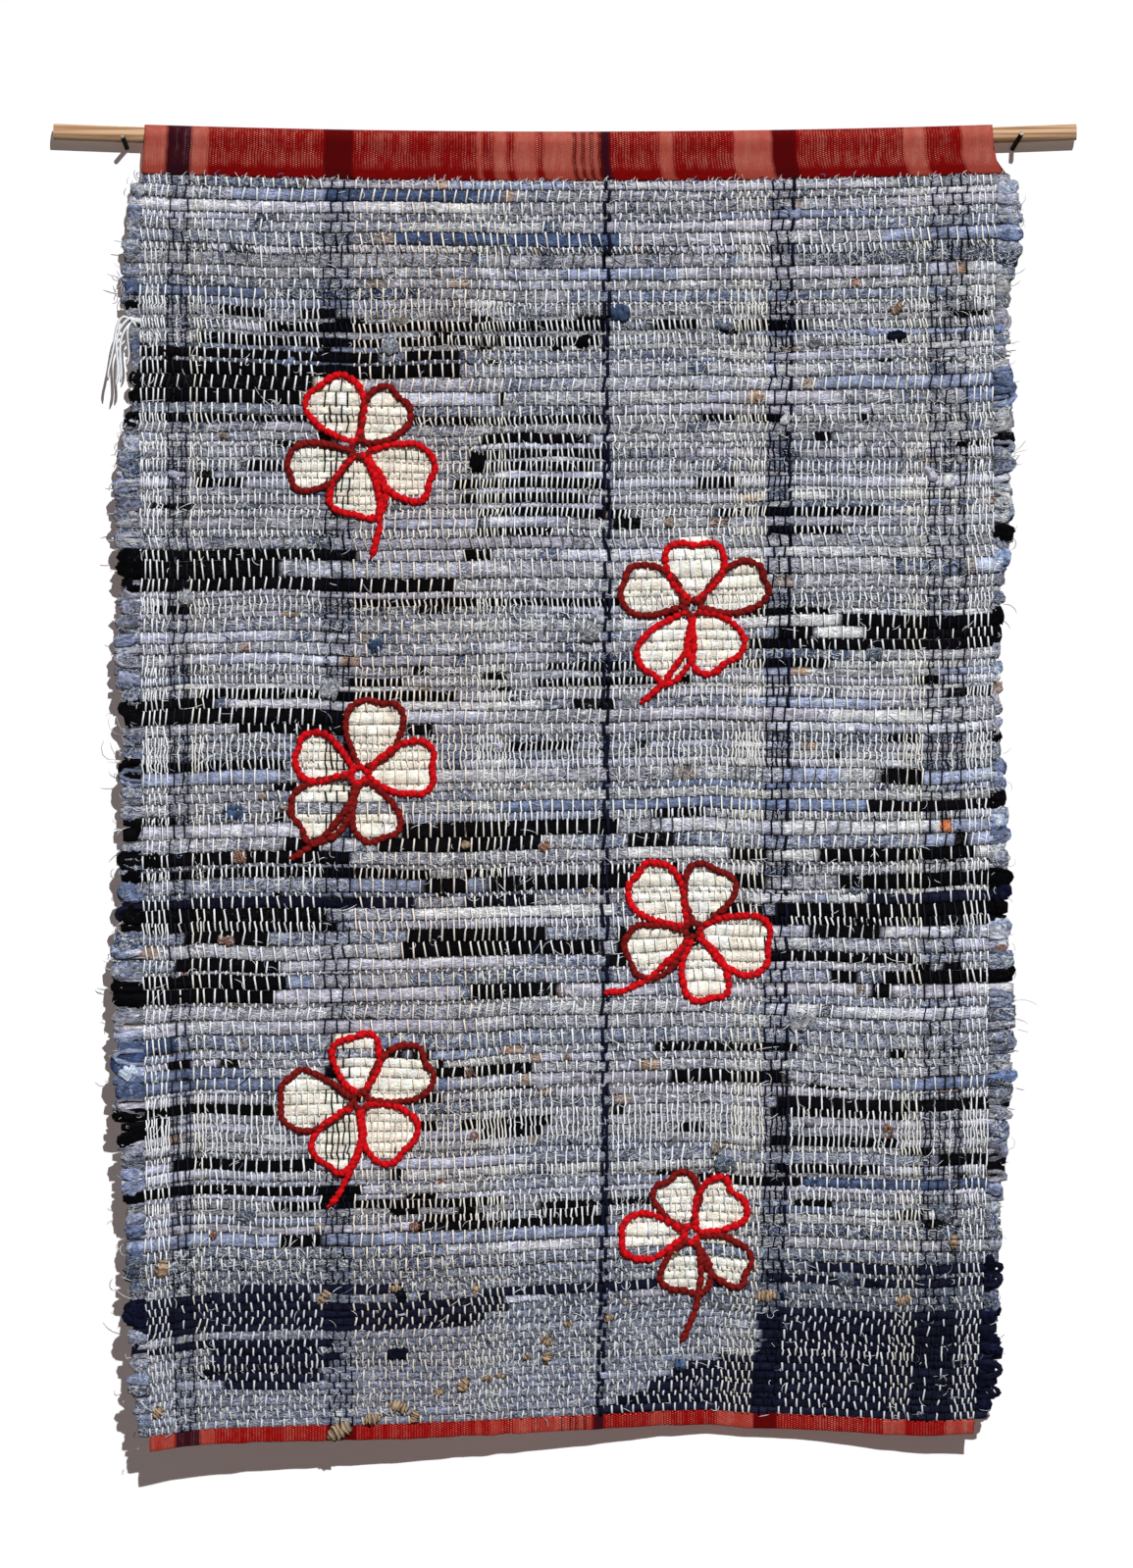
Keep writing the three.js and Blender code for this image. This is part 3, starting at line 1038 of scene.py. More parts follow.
FLOWERS = [
    Flower(-205, 262, 0.35),
    Flower(-205, 578, 1.15, first=Red.OXBLOOD, second=Red.BRIGHT),
    Flower(-205, 894, 0.75),
    Flower(120, 420, 0.95),
    Flower(120, 736, 0.15),
    Flower(120, 1034, 0.55, petal=66, wide=30, first=Red.OXBLOOD, second=Red.BRIGHT),
]


# ---- the weave


class WarpZone(NamedTuple):
    """A stripe of warp ends: its left and right at the heading, its set and every third end."""

    left: float
    right: float
    pitch: float
    yarn: Yarn
    radius: float
    third: Yarn | None = None


WARP_ZONES = [WarpZone(*row) for row in (
    (-415.6, -389.7, 3.0, Yarn.WHITE, 0.88), (-389.7, -368.5, 4.2, Yarn.INK, 0.80, Yarn.WHITE),
    (-368.5, -354.1, 3.3, Yarn.CREAM, 0.88), (-354.1, -240.8, 5.6, Yarn.WHITE, 0.96),
    (-240.8, -212.0, 5.6, Yarn.NAVY, 0.86), (-212.0, -91.9, 5.6, Yarn.PEACH, 0.94),
    (-91.9, -60.0, 3.6, Yarn.CREAM, 0.90), (-60.0, 33.0, 5.2, Yarn.WHITE, 0.94),
    (33.0, 41.6, 4.6, Yarn.NAVY, 1.75), (41.6, 161.7, 5.4, Yarn.WHITE, 0.96),
    (161.7, 196.0, 3.6, Yarn.CREAM, 0.92), (196.0, 217.0, 5.4, Yarn.NAVY, 0.86),
    (217.0, 221.3, 4.3, Yarn.NAVY, 1.65), (221.3, 328.9, 5.6, Yarn.WHITE, 0.96),
    (328.9, 351.0, 3.5, Yarn.CREAM, 0.90), (351.0, 389.4, 4.8, Yarn.INK, 0.80, Yarn.WHITE),
    (389.4, 415.4, 3.1, Yarn.WHITE, 0.88),
)]


class Loom:
    """The plan of the weave: the rows' edges, the warp ends' places and the dyes.

    Rows are counted from the heading down. Heights on the cloth are given as "down",
    in millimetres below the heading's stitched edge.
    """

    pitch: float = 10.9
    fine_pitch: float = 6.9
    fine_from: float = 1052.0
    least_room: float = 3.2
    least_tall: float = 2.4
    tapering: float = 0.17
    thin_below: float = 9.6
    over_laid_in: float = 0.75
    over_thin: float = 0.1
    over_full: float = 0.02
    over_fine: float = 0.08
    alone_from: float = 4.0
    plump: float = 3.35
    bulge: float = 1.10
    squeeze: float = 0.52
    least_thick: float = 1.6
    most_thick: float = 4.0
    tint: Array = np.array([1.045, 0.985, 1.075])
    grid: Array = np.linspace(-450, 450, 241)

    def __init__(self, rng: Chance) -> None:
        """Works the whole plan out.

        Args:
            rng: the source of chance.
        """
        self.rng = rng
        self.tall = HANG.tall
        self._set_rows()
        self._set_edges()
        self._set_ends()
        self._set_columns()
        self._dye()

    def _set_rows(self) -> None:
        """Fills the height with rows of the usual pitch between the thin dark ones."""
        rng = self.rng
        heights, streaks, down = [], [], 0.0
        for streak in [*STREAKS, None]:
            stop = streak.down - streak.tall / 2 if streak else self.tall * HANG.field_share
            pitch = self.pitch if down < self.fine_from else self.fine_pitch
            room = max(stop - down, 0.0)
            count = max(1, round(room / pitch)) if room > self.least_room else 0
            shares = rng.choice([0.74, 1.0, 1.2], count, p=[0.27, 0.46, 0.27])
            shares = shares * rng.uniform(0.9, 1.1, count)
            heights += list(room * shares / shares.sum()) if count else []
            streaks += [None] * count
            if streak:
                heights.append(streak.tall + (0 if count else room))
                streaks.append(streak)
                down += (room if count else 0) + heights[-1]
        self.streaks = streaks
        self.rows = len(heights)
        self.edge = np.concatenate([[0], np.cumsum(heights)])
        self.middle = (self.edge[1:] + self.edge[:-1]) / 2

    def _set_edges(self) -> None:
        """Lets the rows' edges wander, and some rows taper away."""
        rng, n, g = self.rng, self.rows + 1, len(self.grid)
        lines = self.edge[:, None] + 2.3 * drift(rng, n, g, 9, 22)
        lines = lines + 0.9 * wander(rng, n, g, 13) + 0.7 * wander(rng, n, g, 5)
        for k in rng.choice(self.rows, int(self.tapering * self.rows), replace=False):
            if self.streaks[k]:
                continue
            stop, side = rng.uniform(-350, 350), rng.choice([-1, 1])
            gone = 1 / (1 + np.exp(-side * (self.grid - stop) / 14))
            loss = 0.72 * (self.edge[k + 1] - self.edge[k]) * gone
            j = np.arange(n)[:, None]
            above, below = np.exp(-(k - j) / 2.5), np.exp(-(j - k - 1) / 2.5)
            lines = lines + np.where(j <= k, above, 0) * loss / 2
            lines = lines - np.where(j > k, below, 0) * loss / 2
        calm = np.clip(from_ends(n)[:, None] / 3, 0, 1)
        lines = lines * calm + self.edge[:, None] * (1 - calm)
        for k in range(1, n):
            lines[k] = np.maximum(lines[k], lines[k - 1] + self.least_tall)
        self.lines = lines

    def read(self, values: Array, x: Array) -> Array:
        """Reads a plan that is kept on the grid.

        Args:
            values: lines by grid points.
            x: lines by places across.

        Returns:
            The values there, as lines by places.
        """
        step = self.grid[1] - self.grid[0]
        at = np.clip((x - self.grid[0]) / step, 0, len(self.grid) - 1.001)
        i = at.astype(int)
        k = np.arange(len(values))[:, None]
        return values[k, i] * (1 - at + i) + values[k, i + 1] * (at - i)

    def _set_ends(self) -> None:
        """Sets the warp ends out across the cloth, and lets them sway."""
        rng, n = self.rng, self.rows
        ends: list[tuple[float, float, Yarn]] = []
        for zone in WARP_ZONES:
            count = max(1, round((zone.right - zone.left) / zone.pitch))
            step = (zone.right - zone.left) / count
            places = [zone.left + (i + 0.5) * step for i in range(count)]
            odd = zone.third or zone.yarn
            yarns = [odd if i % 3 == 2 else zone.yarn for i in range(count)]
            ends += [(place, zone.radius, yarn) for place, yarn in zip(places, yarns)]
        places, radii, self.yarn = zip(*ends)
        self.end_x, self.radius, count = np.array(places), np.array(radii), len(ends)
        at = HANG.warp_x(self.end_x[None], self.edge[:, None] / self.tall)
        at = at + 0.9 * wander(rng, count, n + 1, 9).T + 1.3 * wander(rng, 1, n + 1, 14).T
        self.end_edge = at
        stray = np.clip(rng.normal(0, 0.5, (n, count)), -1, 1)
        self.end_row = (at[1:] + at[:-1]) / 2 + stray
        # Some rows, most of all thin ones, lie under every end, the others under every second.
        thin = np.diff(self.edge) < self.thin_below
        laid_in = np.array([streak is not None for streak in self.streaks])
        odds = np.where(laid_in, self.over_laid_in, self.over_thin)
        odds = np.where(thin, odds, self.over_full)
        self.fine = self.middle > self.fine_from
        covered = rng.random(n) < np.where(self.fine, self.over_fine, odds)
        turn = np.cumsum(~covered)[:, None] % 2 == np.arange(count)[None] % 2
        self.front = covered[:, None] | turn

    def _set_columns(self) -> None:
        """Puts the rows' sections at the warp ends that press into them, and between."""
        rng, n = self.rng, self.rows
        wide = np.diff(self.end_x) > self.alone_from
        alone = np.concatenate([[False], wide]) | np.concatenate([wide, [False]])
        at = np.nonzero(alone | (np.arange(len(alone)) % 2 == 0))[0]
        inner = self.end_row[:, at]
        edges = HANG.edges(self.middle)
        t = np.array([0.0, 0.22, 0.5, 0.78])
        left = (edges[0] + rng.uniform(0.5, 7, n))[:, None]
        right = (edges[1] - rng.uniform(0.5, 7, n))[:, None]
        left = left + (inner[:, :1] - left) * t
        right = right + (inner[:, -1:] - right) * t[::-1]
        self.x = np.concatenate([left, inner, right], 1)
        self.rim = len(t)
        front = np.where(alone[at], np.where(self.front[:, at], 1.0, 0.0), 0.45)
        back = np.where(alone[at], np.where(self.front[:, at], 0.0, 1.0), 0.45)
        rim = np.full((n, self.rim), 0.15)
        self.press_front = np.concatenate([rim, front, rim], 1)
        self.press_back = np.concatenate([rim, back, rim], 1)
        upper, lower = self.read(self.lines[:-1], self.x), self.read(self.lines[1:], self.x)
        self.down = (upper + lower) / 2
        self.half = (lower - upper) / 2
        columns = self.x.shape[1]
        plump = self.plump * (0.5 + 0.5 * np.clip(self.half / 5.7, 0.3, 1.2))
        lively = 0.20 * wander(rng, n, columns, 9) + 0.12 * wander(rng, n, columns, 3)
        self.thick = np.clip(plump * (1 + lively), self.least_thick, self.most_thick)
        self.face = self.thick * (self.bulge - self.squeeze * self.press_front)

    def _dye(self) -> None:
        """Dyes the rows, frays some of them, fades them and lays the petals in."""
        rng, (n, c) = self.rng, self.x.shape
        self.colour = np.zeros((n, c, 3))
        self.fray = np.zeros((n, c))
        self.dark = np.zeros((n, c), bool)
        for k in range(n):
            self._tear(k)
            self._fleck(k)
        self._patch()
        self._streak()
        self._fade()
        self.petal = np.zeros((n, c), bool)
        for flower in FLOWERS:
            inside = flower.covers(self.x, self.down)
            inside[(rng.random(n) < 0.08)] = False
            self.petal |= inside
        self.colour[self.petal] = Denim.CREAM.light
        self.fray[self.petal] = 0.0
        self.dark[self.petal] = False
        self.colour *= 1 + 0.12 * wander(rng, n, c, 4)[..., None]
        self.colour *= 1 + 0.07 * rng.normal(size=(n, c, 1))
        self.colour = np.clip(self.colour, 0.002, 0.93)
        self.thick = np.where(self.dark, self.thick * 0.88, self.thick)

    def _tear(self, k: int) -> None:
        """Dyes a row in stretches of torn rag, some with a tan or rusty end.

        Args:
            k: the row.
        """
        rng, x, at = self.rng, self.x[k], self.x[k, 0]
        kinds, odds = list(RAGS), np.array(list(RAGS.values()))
        while at < x[-1]:
            long = rng.exponential(190) + 40
            here = (x >= at) & (x < at + long)
            kind = kinds[rng.choice(len(kinds), p=odds / odds.sum())]
            self.colour[k, here] = kind.light * np.clip(rng.normal(1, 0.15), 0.7, 1.12)
            self.fray[k, here] = rng.choice([0.35, 0.7, 1.0], p=[0.35, 0.3, 0.35])
            at += long
            if rng.random() < 0.16:
                tip = (x >= at - rng.uniform(8, 20)) & (x < at)
                odd = Denim.RUST if rng.random() < 0.2 else Denim.DUST
                self.colour[k, tip] = odd.light * rng.uniform(0.75, 1.1)

    def _patch(self) -> None:
        """Dyes the patches, and the dark corner, which reaches left along the foot as a wedge."""
        rng, n = self.rng, self.rows
        for patch in PATCHES:
            near = patch.left + (rng.normal(0, 11, n) if patch.left > -399 else np.zeros(n))
            far = patch.right + (rng.normal(0, 11, n) if patch.right < 399 else np.zeros(n))
            chosen = (self.middle > patch.top) & (self.middle < patch.low)
            for k in np.nonzero(chosen & (rng.random(n) < patch.share))[0]:
                here = (self.x[k] > near[k]) & (self.x[k] < far[k])
                self._soak(k, here, patch.dye, patch.fray)
        for k in np.nonzero(self.middle > WEDGE_AT[0])[0]:
            reach = np.interp(self.middle[k], WEDGE_AT, WEDGE_LEFT) + rng.normal(0, 6)
            self._soak(k, (self.x[k] > reach) & (self.x[k] < 200), Denim.NAVY, 0.2)

    def _streak(self) -> None:
        """Dyes the dark spans of the thin rows."""
        for k, streak in enumerate(self.streaks):
            for left, right in streak.spans if streak else ():
                near = left + self.rng.normal(0, 5) if left > -400 else -450
                far = right + self.rng.normal(0, 5) if right < 400 else 450
                dye = Denim.NAVY if streak.navy else Denim.BLACK
                self._soak(k, (self.x[k] > near) & (self.x[k] < far), dye, 0.25)

    def _fade(self) -> None:
        """Makes the rags as pale as they are in that part of the cloth, but for the dark ones."""
        across = np.stack([np.interp(self.x, PALE_AT, row) for row in PALE])
        last = len(PALE) - 1.001
        at = np.clip(np.interp(self.middle, PALE_DOWN, np.arange(len(PALE))), 0, last)
        i, each = at.astype(int), np.arange(self.rows)
        part = (at - i)[:, None]
        pale = across[i, each] * (1 - part) + across[i + 1, each] * part
        self.colour *= np.where(self.dark, 1.0, pale)[..., None] * self.tint

    def _fleck(self, k: int) -> None:
        """Lets short dark and blue folds of other rags show in a row.

        Args:
            k: the row.
        """
        rng, x = self.rng, self.x[k]
        tall = self.edge[k + 1] - self.edge[k]
        busy = 125 < self.middle[k] < 1030
        for _ in range(rng.poisson(1.6)):
            at, long = rng.uniform(-440, 440), rng.uniform(8, 26)
            self._soak(k, abs(x - at) < long / 2, rng.choice([Denim.DEEP, Denim.SLATE]), 1.0)
        for _ in range(rng.poisson((1.6 if tall < 9 else 0.35) if busy else 0.1)):
            at, long = rng.uniform(-440, 440), rng.uniform(9, 46)
            self._soak(k, abs(x - at) < long / 2, Denim.BLACK, 0.3)

    def _soak(self, k: int, here: Array, dye: Denim, fray: float) -> None:
        """Dyes part of a row.

        Args:
            k: the row.
            here: which of its columns.
            dye: the new dye.
            fray: how frayed the rag is there.
        """
        deep = dye in (Denim.BLACK, Denim.NAVY)
        tint = self.rng.uniform(0.8, 1.5) if deep else self.rng.uniform(0.85, 1.15)
        self.colour[k, here] = dye.light * tint
        self.fray[k, here] = fray * self.rng.uniform(0.6, 1.1)
        self.dark[k, here] = deep


@dataclass
class Craft:
    """What the makers of the cloth's pieces share: their chance and their finish."""

    rng: Chance
    finish: Finish


@dataclass
class Weaving(Craft):
    """What those makers share that follow the plan of the weave."""

    loom: Loom


@dataclass
class Warp(Weaving):
    """The warp ends, which pass over and under the rag rows from heading to foot."""

    cover: float = 0.85
    sunk_odds: float = 0.06
    sunk_rise: float = 0.8
    rest: float = 0.11
    rest_fine: float = 0.10
    lap: float = 0.36
    behind: float = -0.75
    behind_at: tuple[float, ...] = (0.07, 0.93)
    fine_thick: float = 1.02
    plain_thick: float = 0.98
    fine_shade: float = 0.78

    def paths(self) -> list[Array]:
        """Leads the ends over and under the rows.

        Returns:
            The middle lines of every second end, then of the others, as ends by points by 3.
        """
        loom, rng = self.loom, self.rng
        edge = loom.read(loom.lines, loom.end_edge)
        tall = np.diff(edge, axis=0)
        reach = np.stack([np.interp(*row) for row in zip(loom.end_row, loom.x, loom.face)])
        beside = np.maximum(np.roll(reach, 1, 0), np.roll(reach, -1, 0))
        reach = np.maximum(reach, 0.82 * beside)
        sunk = np.where(rng.random(reach.shape) < self.sunk_odds, self.sunk_rise, 1.0)
        rise = (reach + loom.radius * self.cover) * sunk * rng.uniform(0.94, 1.12, reach.shape)
        lean = rng.normal(0, 0.45, (loom.rows, 1)) + rng.normal(0, 0.35, reach.shape)
        lean = np.clip(lean, -1.6, 1.6)
        # An end on the face laps over a thinner row above or below its own.
        ratio = tall[1:] / tall[:-1]
        lap = self.lap * np.clip((np.maximum(ratio, 1 / ratio) - 1.1) / 0.6, 0, 1)
        rest = np.where(loom.fine, self.rest_fine, self.rest)[:, None]
        above, below = rest + 0 * tall, rest + 0 * tall
        above[1:] -= np.where(ratio > 1, lap / ratio, 0)
        below[:-1] -= np.where(ratio < 1, lap * ratio, 0)

        def spot(k: int, part: Array, side: float, across: float) -> Array:
            """The points of all ends on row k.

            Args:
                k: the row.
                part: how far down the row they are, from 0 to 1.
                side: 1 on the face, and negative towards the back.
                across: how much of their lean they have, from -1 to 1.

            Returns:
                The points, as ends by 3.
            """
            x = loom.end_row[k] + lean[k] * across
            return HANG.face(x, edge[k] + tall[k] * part, rise[k] * side)

        paths, each = [], np.ones(tall.shape[1])
        for first in (0, 1):
            points = [spot(0, 0 * each, 0.0, 0.0)]
            for k in range(loom.rows):
                if loom.front[k, first]:
                    points += [spot(k, above[k], 1.0, -1.0), spot(k, 1 - below[k], 1.0, 1.0)]
                else:
                    points += [spot(k, part * each, self.behind, 0.0) for part in self.behind_at]
            points.append(spot(loom.rows - 1, each, 0.0, 0.0))
            paths.append(np.stack(points, 1)[first::2])
        return paths

    def build(self) -> list[Piece]:
        """Spins the ends.

        Returns:
            Three bundles, each one piece.
        """
        names = ("warp_ends_white_left", "warp_ends_white_right", "warp_ends_dark")
        bundles = [Bundle(name) for name in names]
        for first, path in enumerate(self.paths()):
            turn = math.pi / 3 + self.rng.uniform(-0.2, 0.2, path.shape[:2])
            # The outward direction follows the yarn as it dips between the rows.
            ahead = unit(np.gradient(path, axis=1))
            up = unit(np.cross(np.array([1.0, 0.0, 0.0]), ahead))
            up = up * np.sign(-up[..., 1:2] + 1e-9)
            swell = self.rng.uniform(0.88, 1.14, path.shape[:2])
            fine = path[..., 2] < -HANG.drop - self.loom.fine_from
            thick = np.where(fine, self.fine_thick, self.plain_thick)
            radius = self.loom.radius[first::2, None] * thick * swell
            rings = rings_round(path, radius, 3, up, turn)
            yarns = self.loom.yarn[first::2]
            dark = np.array([y in (Yarn.NAVY, Yarn.INK) for y in yarns])
            left = self.loom.end_x[first::2] < 0
            dyes = np.array([y.light for y in yarns])[:, None, None]
            dyes = dyes * np.where(fine, self.fine_shade, 1.0)[..., None, None]
            dyes = np.clip(dyes * self.rng.uniform(0.9, 1.1, (*path.shape[:2], 1, 1)), 0, 0.98)
            for bundle, chosen in zip(bundles, (~dark & left, ~dark & ~left, dark)):
                bundle.add(rings[chosen], dyes[chosen])
        return [bundle.build(self.finish) for bundle in bundles]


@dataclass
class RagRows(Weaving):
    """The rows of torn denim strips."""

    corners = np.radians([-76, -45, -15, 15, 46, 76, 180])
    # How bright each corner is painted, from the lower rim round to the back: near black at the
    # two rims, which is painted shade in the gaps where rows meet; lighter on the upper side than
    # the lower, which is painted light from above; the face faded paler than the back.
    wear_and_shade = np.array([0.02, 0.76, 1.12, 1.24, 1.06, 0.05, 0.8])
    flat_wide: float = 0.868
    fold_deep: float = 1.35
    rim_rough: float = 2.6
    jitter: float = 0.3

    def __post_init__(self) -> None:
        """Folds the rags along their length."""
        loom, rng = self.loom, self.rng
        n, c, s = loom.rows, loom.x.shape[1], len(self.corners)
        self.folds = self.fold_deep * wander(rng, n * s, c, 3).reshape(n, s, c).transpose(0, 2, 1)
        self.rough = rng.normal(size=(n, c, s))
        self.rough[:, from_ends(c) < loom.rim] *= self.rim_rough

    def _press(self) -> Array:
        """How hard the warp presses on each corner."""
        face = np.cos(self.corners) > 0
        return np.where(face, self.loom.press_front[..., None], self.loom.press_back[..., None])

    def rings(self) -> Array:
        """Shapes the rags between the warp ends that press on them.

        Returns:
            The corners of all rows, as rows by columns by sides by 3.
        """
        loom, rng = self.loom, self.rng
        n, c, s = self.rough.shape
        turn = 0.2 * wander(rng, n, c, 13)[..., None] + self.corners
        out, up = np.cos(turn), np.sin(turn)
        out = np.sign(out) * np.abs(out) ** 0.95
        ends = np.clip(from_ends(c) / 2 + 0.55, 0, 1)[:, None]
        thick = loom.thick[..., None] * (1 + 0.20 * self.folds + 0.08 * self.rough)
        thick = thick * (loom.bulge - loom.squeeze * self._press()) * ends
        lap = np.where(loom.fine, 1.10, 1.05)[:, None, None]
        half = loom.half[..., None] * lap * (1 + 0.012 * self.rough + 0.015 * self.folds)
        half = half * ends**0.5
        rings = HANG.face(loom.x, loom.down, 0.0)[:, :, None]
        shift = np.stack([rng.normal(0, self.jitter, (n, c, s)), -out * thick, up * half], -1)
        return rings + shift

    def colours(self) -> Array:
        """Colours every corner with painted light and shade: near black in the gaps between rows,
        lighter on the upper side and on the folds, darker where a warp end presses in.

        Returns:
            Linear colours, as rows by columns by sides by 3.
        """
        # Painted shade beside the warp ends that press in, and painted light and shade that follow
        # the folds' bulge; the petals get less of it.
        painted_shade_and_tone = self.wear_and_shade * (1 + 0.32 * self.folds + 0.09 * self.rough) * (1 - 0.34 * self._press())
        painted_shade_and_tone = np.where(self.loom.petal[..., None], 0.55 + 0.50 * painted_shade_and_tone, painted_shade_and_tone)
        return np.clip(self.loom.colour[:, :, None] * painted_shade_and_tone[..., None], 0, 0.95)

    def build(self) -> list[Piece]:
        """Weaves the rows.

        Returns:
            Three bands of rows, each one piece.
        """
        loom, rings, colour = self.loom, self.rings(), self.colours()
        round_it = np.sin(self.corners) + NEXT_RAG * np.arange(loom.rows)[:, None, None]
        lay = loom.fray[..., None], round_it, loom.x[..., None]
        pieces, third = [], loom.rows / 3
        for k, name in enumerate(("rag_rows_upper", "rag_rows_middle", "rag_rows_lower")):
            part = slice(round(k * third), round((k + 1) * third))
            bundle = Bundle(name)
            bundle.add(rings[part], colour[part], tuple(value[part] for value in lay))
            piece = bundle.build(self.finish)
            pieces.append(piece)
        return pieces


# ---- heading, foot


class RedZone(NamedTuple):
    """A stripe of the red bands: where it starts, its weft look and its dots."""

    left: float
    dye: Red
    dot: Red
    show: float


RED_ZONES = [RedZone(left, Red[dye], Red[dot], show) for left, dye, dot, show in (
    (-430, "SALMON", "ROSE", 0.85), (-391.5, "PURPLE", "MAROON", 0.3),
    (-386.3, "PURPLE", "DUSK", 0.55), (-381.2, "PURPLE", "MAROON", 0.0),
    (-375.3, "PURPLE", "DUSK", 0.75), (-373.7, "PURPLE", "DUSK", 0.25),
    (-367.9, "SALMON", "ROSE", 0.85), (-352.4, "PLAIN", "BLUSH", 0.38),
    (-240.8, "MAROON", "MAROON", 0.0), (-212.7, "PLAIN", "ROSE", 0.36),
    (-90.8, "SALMON", "ROSE", 0.6), (-84.5, "PLAIN", "BLUSH", 0.42),
    (-73.8, "SALMON", "ROSE", 0.8), (-62, "PLAIN", "BLUSH", 0.5),
    (-50.9, "SALMON", "ROSE", 0.75), (-33.2, "PLAIN", "BLUSH", 0.5),
    (-22.8, "SALMON", "ROSE", 0.8), (-2.1, "MAROON", "ROSE", 0.3), (1, "SALMON", "ROSE", 0.7),
    (5.5, "MAROON", "ROSE", 0.35), (7.5, "SALMON", "ROSE", 0.7), (13, "MAROON", "ROSE", 0.35),
    (15, "SALMON", "ROSE", 0.7), (21.5, "MAROON", "ROSE", 0.35), (23.5, "SALMON", "ROSE", 0.7),
    (29.5, "MAROON", "ROSE", 0.3), (31.9, "PURPLE", "MAROON", 0.0), (42.2, "PLAIN", "BLUSH", 0.36),
    (82, "PLAIN", "ROSE", 0.36), (90.8, "SALMON", "ROSE", 0.75), (103, "PLAIN", "BLUSH", 0.34),
    (160.8, "SALMON", "ROSE", 0.8), (199.4, "MAROON", "MAROON", 0.0),
    (222.3, "PLAIN", "BLUSH", 0.40), (327.9, "SALMON", "ROSE", 0.85),
    (349.4, "PLAIN", "ROSE", 0.3), (387, "SALMON", "ROSE", 0.85),
)]


@dataclass
class RedBand(Craft):
    """What the heading and the foot share: their stripes and how they become pieces."""

    left: float = WARP_ZONES[0].left
    right: float = WARP_ZONES[-1].right
    pitch: float = 2.8
    ruddy: float = 0.0
    bright: float = 1.0

    def stripes(self, x: Array) -> tuple[Array, Array, Array]:
        """Looks the stripes up.

        Args:
            x: places across the warp.

        Returns:
            The weft's colour, the dots' colour and how much the dots show there.
        """
        looks = [(zone.left, zone.dye.light, zone.dot.light, zone.show) for zone in RED_ZONES]
        starts, *looks = (np.array(column) for column in zip(*looks))
        i = np.clip(np.searchsorted(starts, x) - 1, 0, len(starts) - 1)
        return tuple(column[i] for column in looks)

    def piece(self, name: str, rings: Array, warp: Array, along: Array, glow: Array) -> Piece:
        """Builds a band.

        Args:
            name: the piece's name.
            rings: columns by section points by 3.
            warp: columns, the warp place of each.
            along: section points, how far along the weft count each is.
            glow: section points, how strongly the dots show there, which also sets the painted
                shade on the weft.

        Returns:
            The new piece.
        """
        dye, dot, show = self.stripes(warp)
        salmon = self.ruddy * (dye[:, 1:2] > 0.05)
        dye = dye * (1 - salmon) + Red.PLAIN.light * salmon
        lay = (warp / self.pitch)[:, None], along, show[:, None] * glow
        # Painted shade: the weft is up to a fifth darker where the dots show least, which on the
        # heading is its lower face just above the seam.
        dim = self.bright * (0.80 + 0.20 * glow)[None, :, None]
        bundle = Bundle(name)
        bundle.add(rings[None], (dye[:, None] * dim)[None], lay)
        made = bundle.build(self.finish)
        thread = made.data.color_attributes.new("thread", "FLOAT_COLOR", "POINT")
        full = np.ones((*rings.shape[:2], 4), np.float32)
        full[..., :3] = dot[:, None]
        thread.data.foreach_set("color", full.ravel())
        return made


@dataclass
class Heading(RedBand):
    """The red heading, turned over the dowel and stitched to itself."""

    cloth: float = 2.0
    inner: float = 8.5
    columns: int = 206
    flat_wide: float = 0.831

    def _middle(self) -> Array:
        """Leads the cloth's middle line from the seam over the dowel and back.

        Returns:
            Points (forward, up) from the dowel's middle.
        """
        r = self.inner + self.cloth / 2
        tip = np.array([1.35, -HANG.drop])
        reach = math.hypot(*tip)
        open_angle = math.acos(r / reach) + math.atan2(tip[0], -tip[1])
        a = np.linspace(open_angle, 2 * math.pi - open_angle, 17)
        arc = np.stack([np.sin(a) * r, -np.cos(a) * r], -1)
        t, rear_tip = np.linspace(0, 1, 11)[:-1, None], tip * [-1, 1]
        front, back = tip * (1 - t) + arc[0] * t, arc[-1] * (1 - t) + rear_tip * t
        return np.concatenate([front, arc, back[1:], rear_tip[None]])

    def build(self) -> Piece:
        """Weaves the heading.

        Returns:
            The new piece.
        """
        middle = self._middle()
        ahead = unit(np.gradient(middle, axis=0))
        out = np.stack([ahead[:, 1], -ahead[:, 0]], -1)
        # Forward is positive here, and the outer side is the side away from the dowel.
        out = out * np.sign((out * (middle + [0, 12])).sum(-1, keepdims=True))
        half = self.cloth / 2
        section = np.concatenate([middle + out * half, (middle - out * half)[::-1]])
        length = run(middle)
        along = np.concatenate([length, length[::-1]])
        n = len(section)
        u = np.linspace(0, 1, self.columns)
        below = -section[:, 1] - HANG.drop
        left, right = HANG.edges(below)
        ragged = 1.1 * wander(self.rng, 2, n, 1.6)
        x = (left + ragged[0])[None] + (right - left + ragged[1] - ragged[0])[None] * u[:, None]
        ripple = 0.5 * wander(self.rng, n, self.columns, 9).T
        ripple = ripple + 0.35 * wander(self.rng, 1, self.columns, 20).T
        forward = section[:, 0] + ripple * np.sign(section[:, 0]) * 0.5
        rise = section[:, 1] + 0.5 * wander(self.rng, 1, self.columns, 6).T * (below > -8)
        rings = np.stack([x, -HANG.rod_off - forward, HANG.rod_height(x) + rise], -1)
        warp = self.left + u * (self.right - self.left)
        # The warp shows best at the fold and at two thirds of the way down.
        at, shown = [0, 8, 12, 16, 25, 29, 36, 44], [0.0, 0.0, 0.7, 1.05, 1.0, 0.75, 0.8, 1.1]
        glow = np.interp(along, at, shown)
        made = self.piece("red_heading", rings, warp, along, glow)
        return made


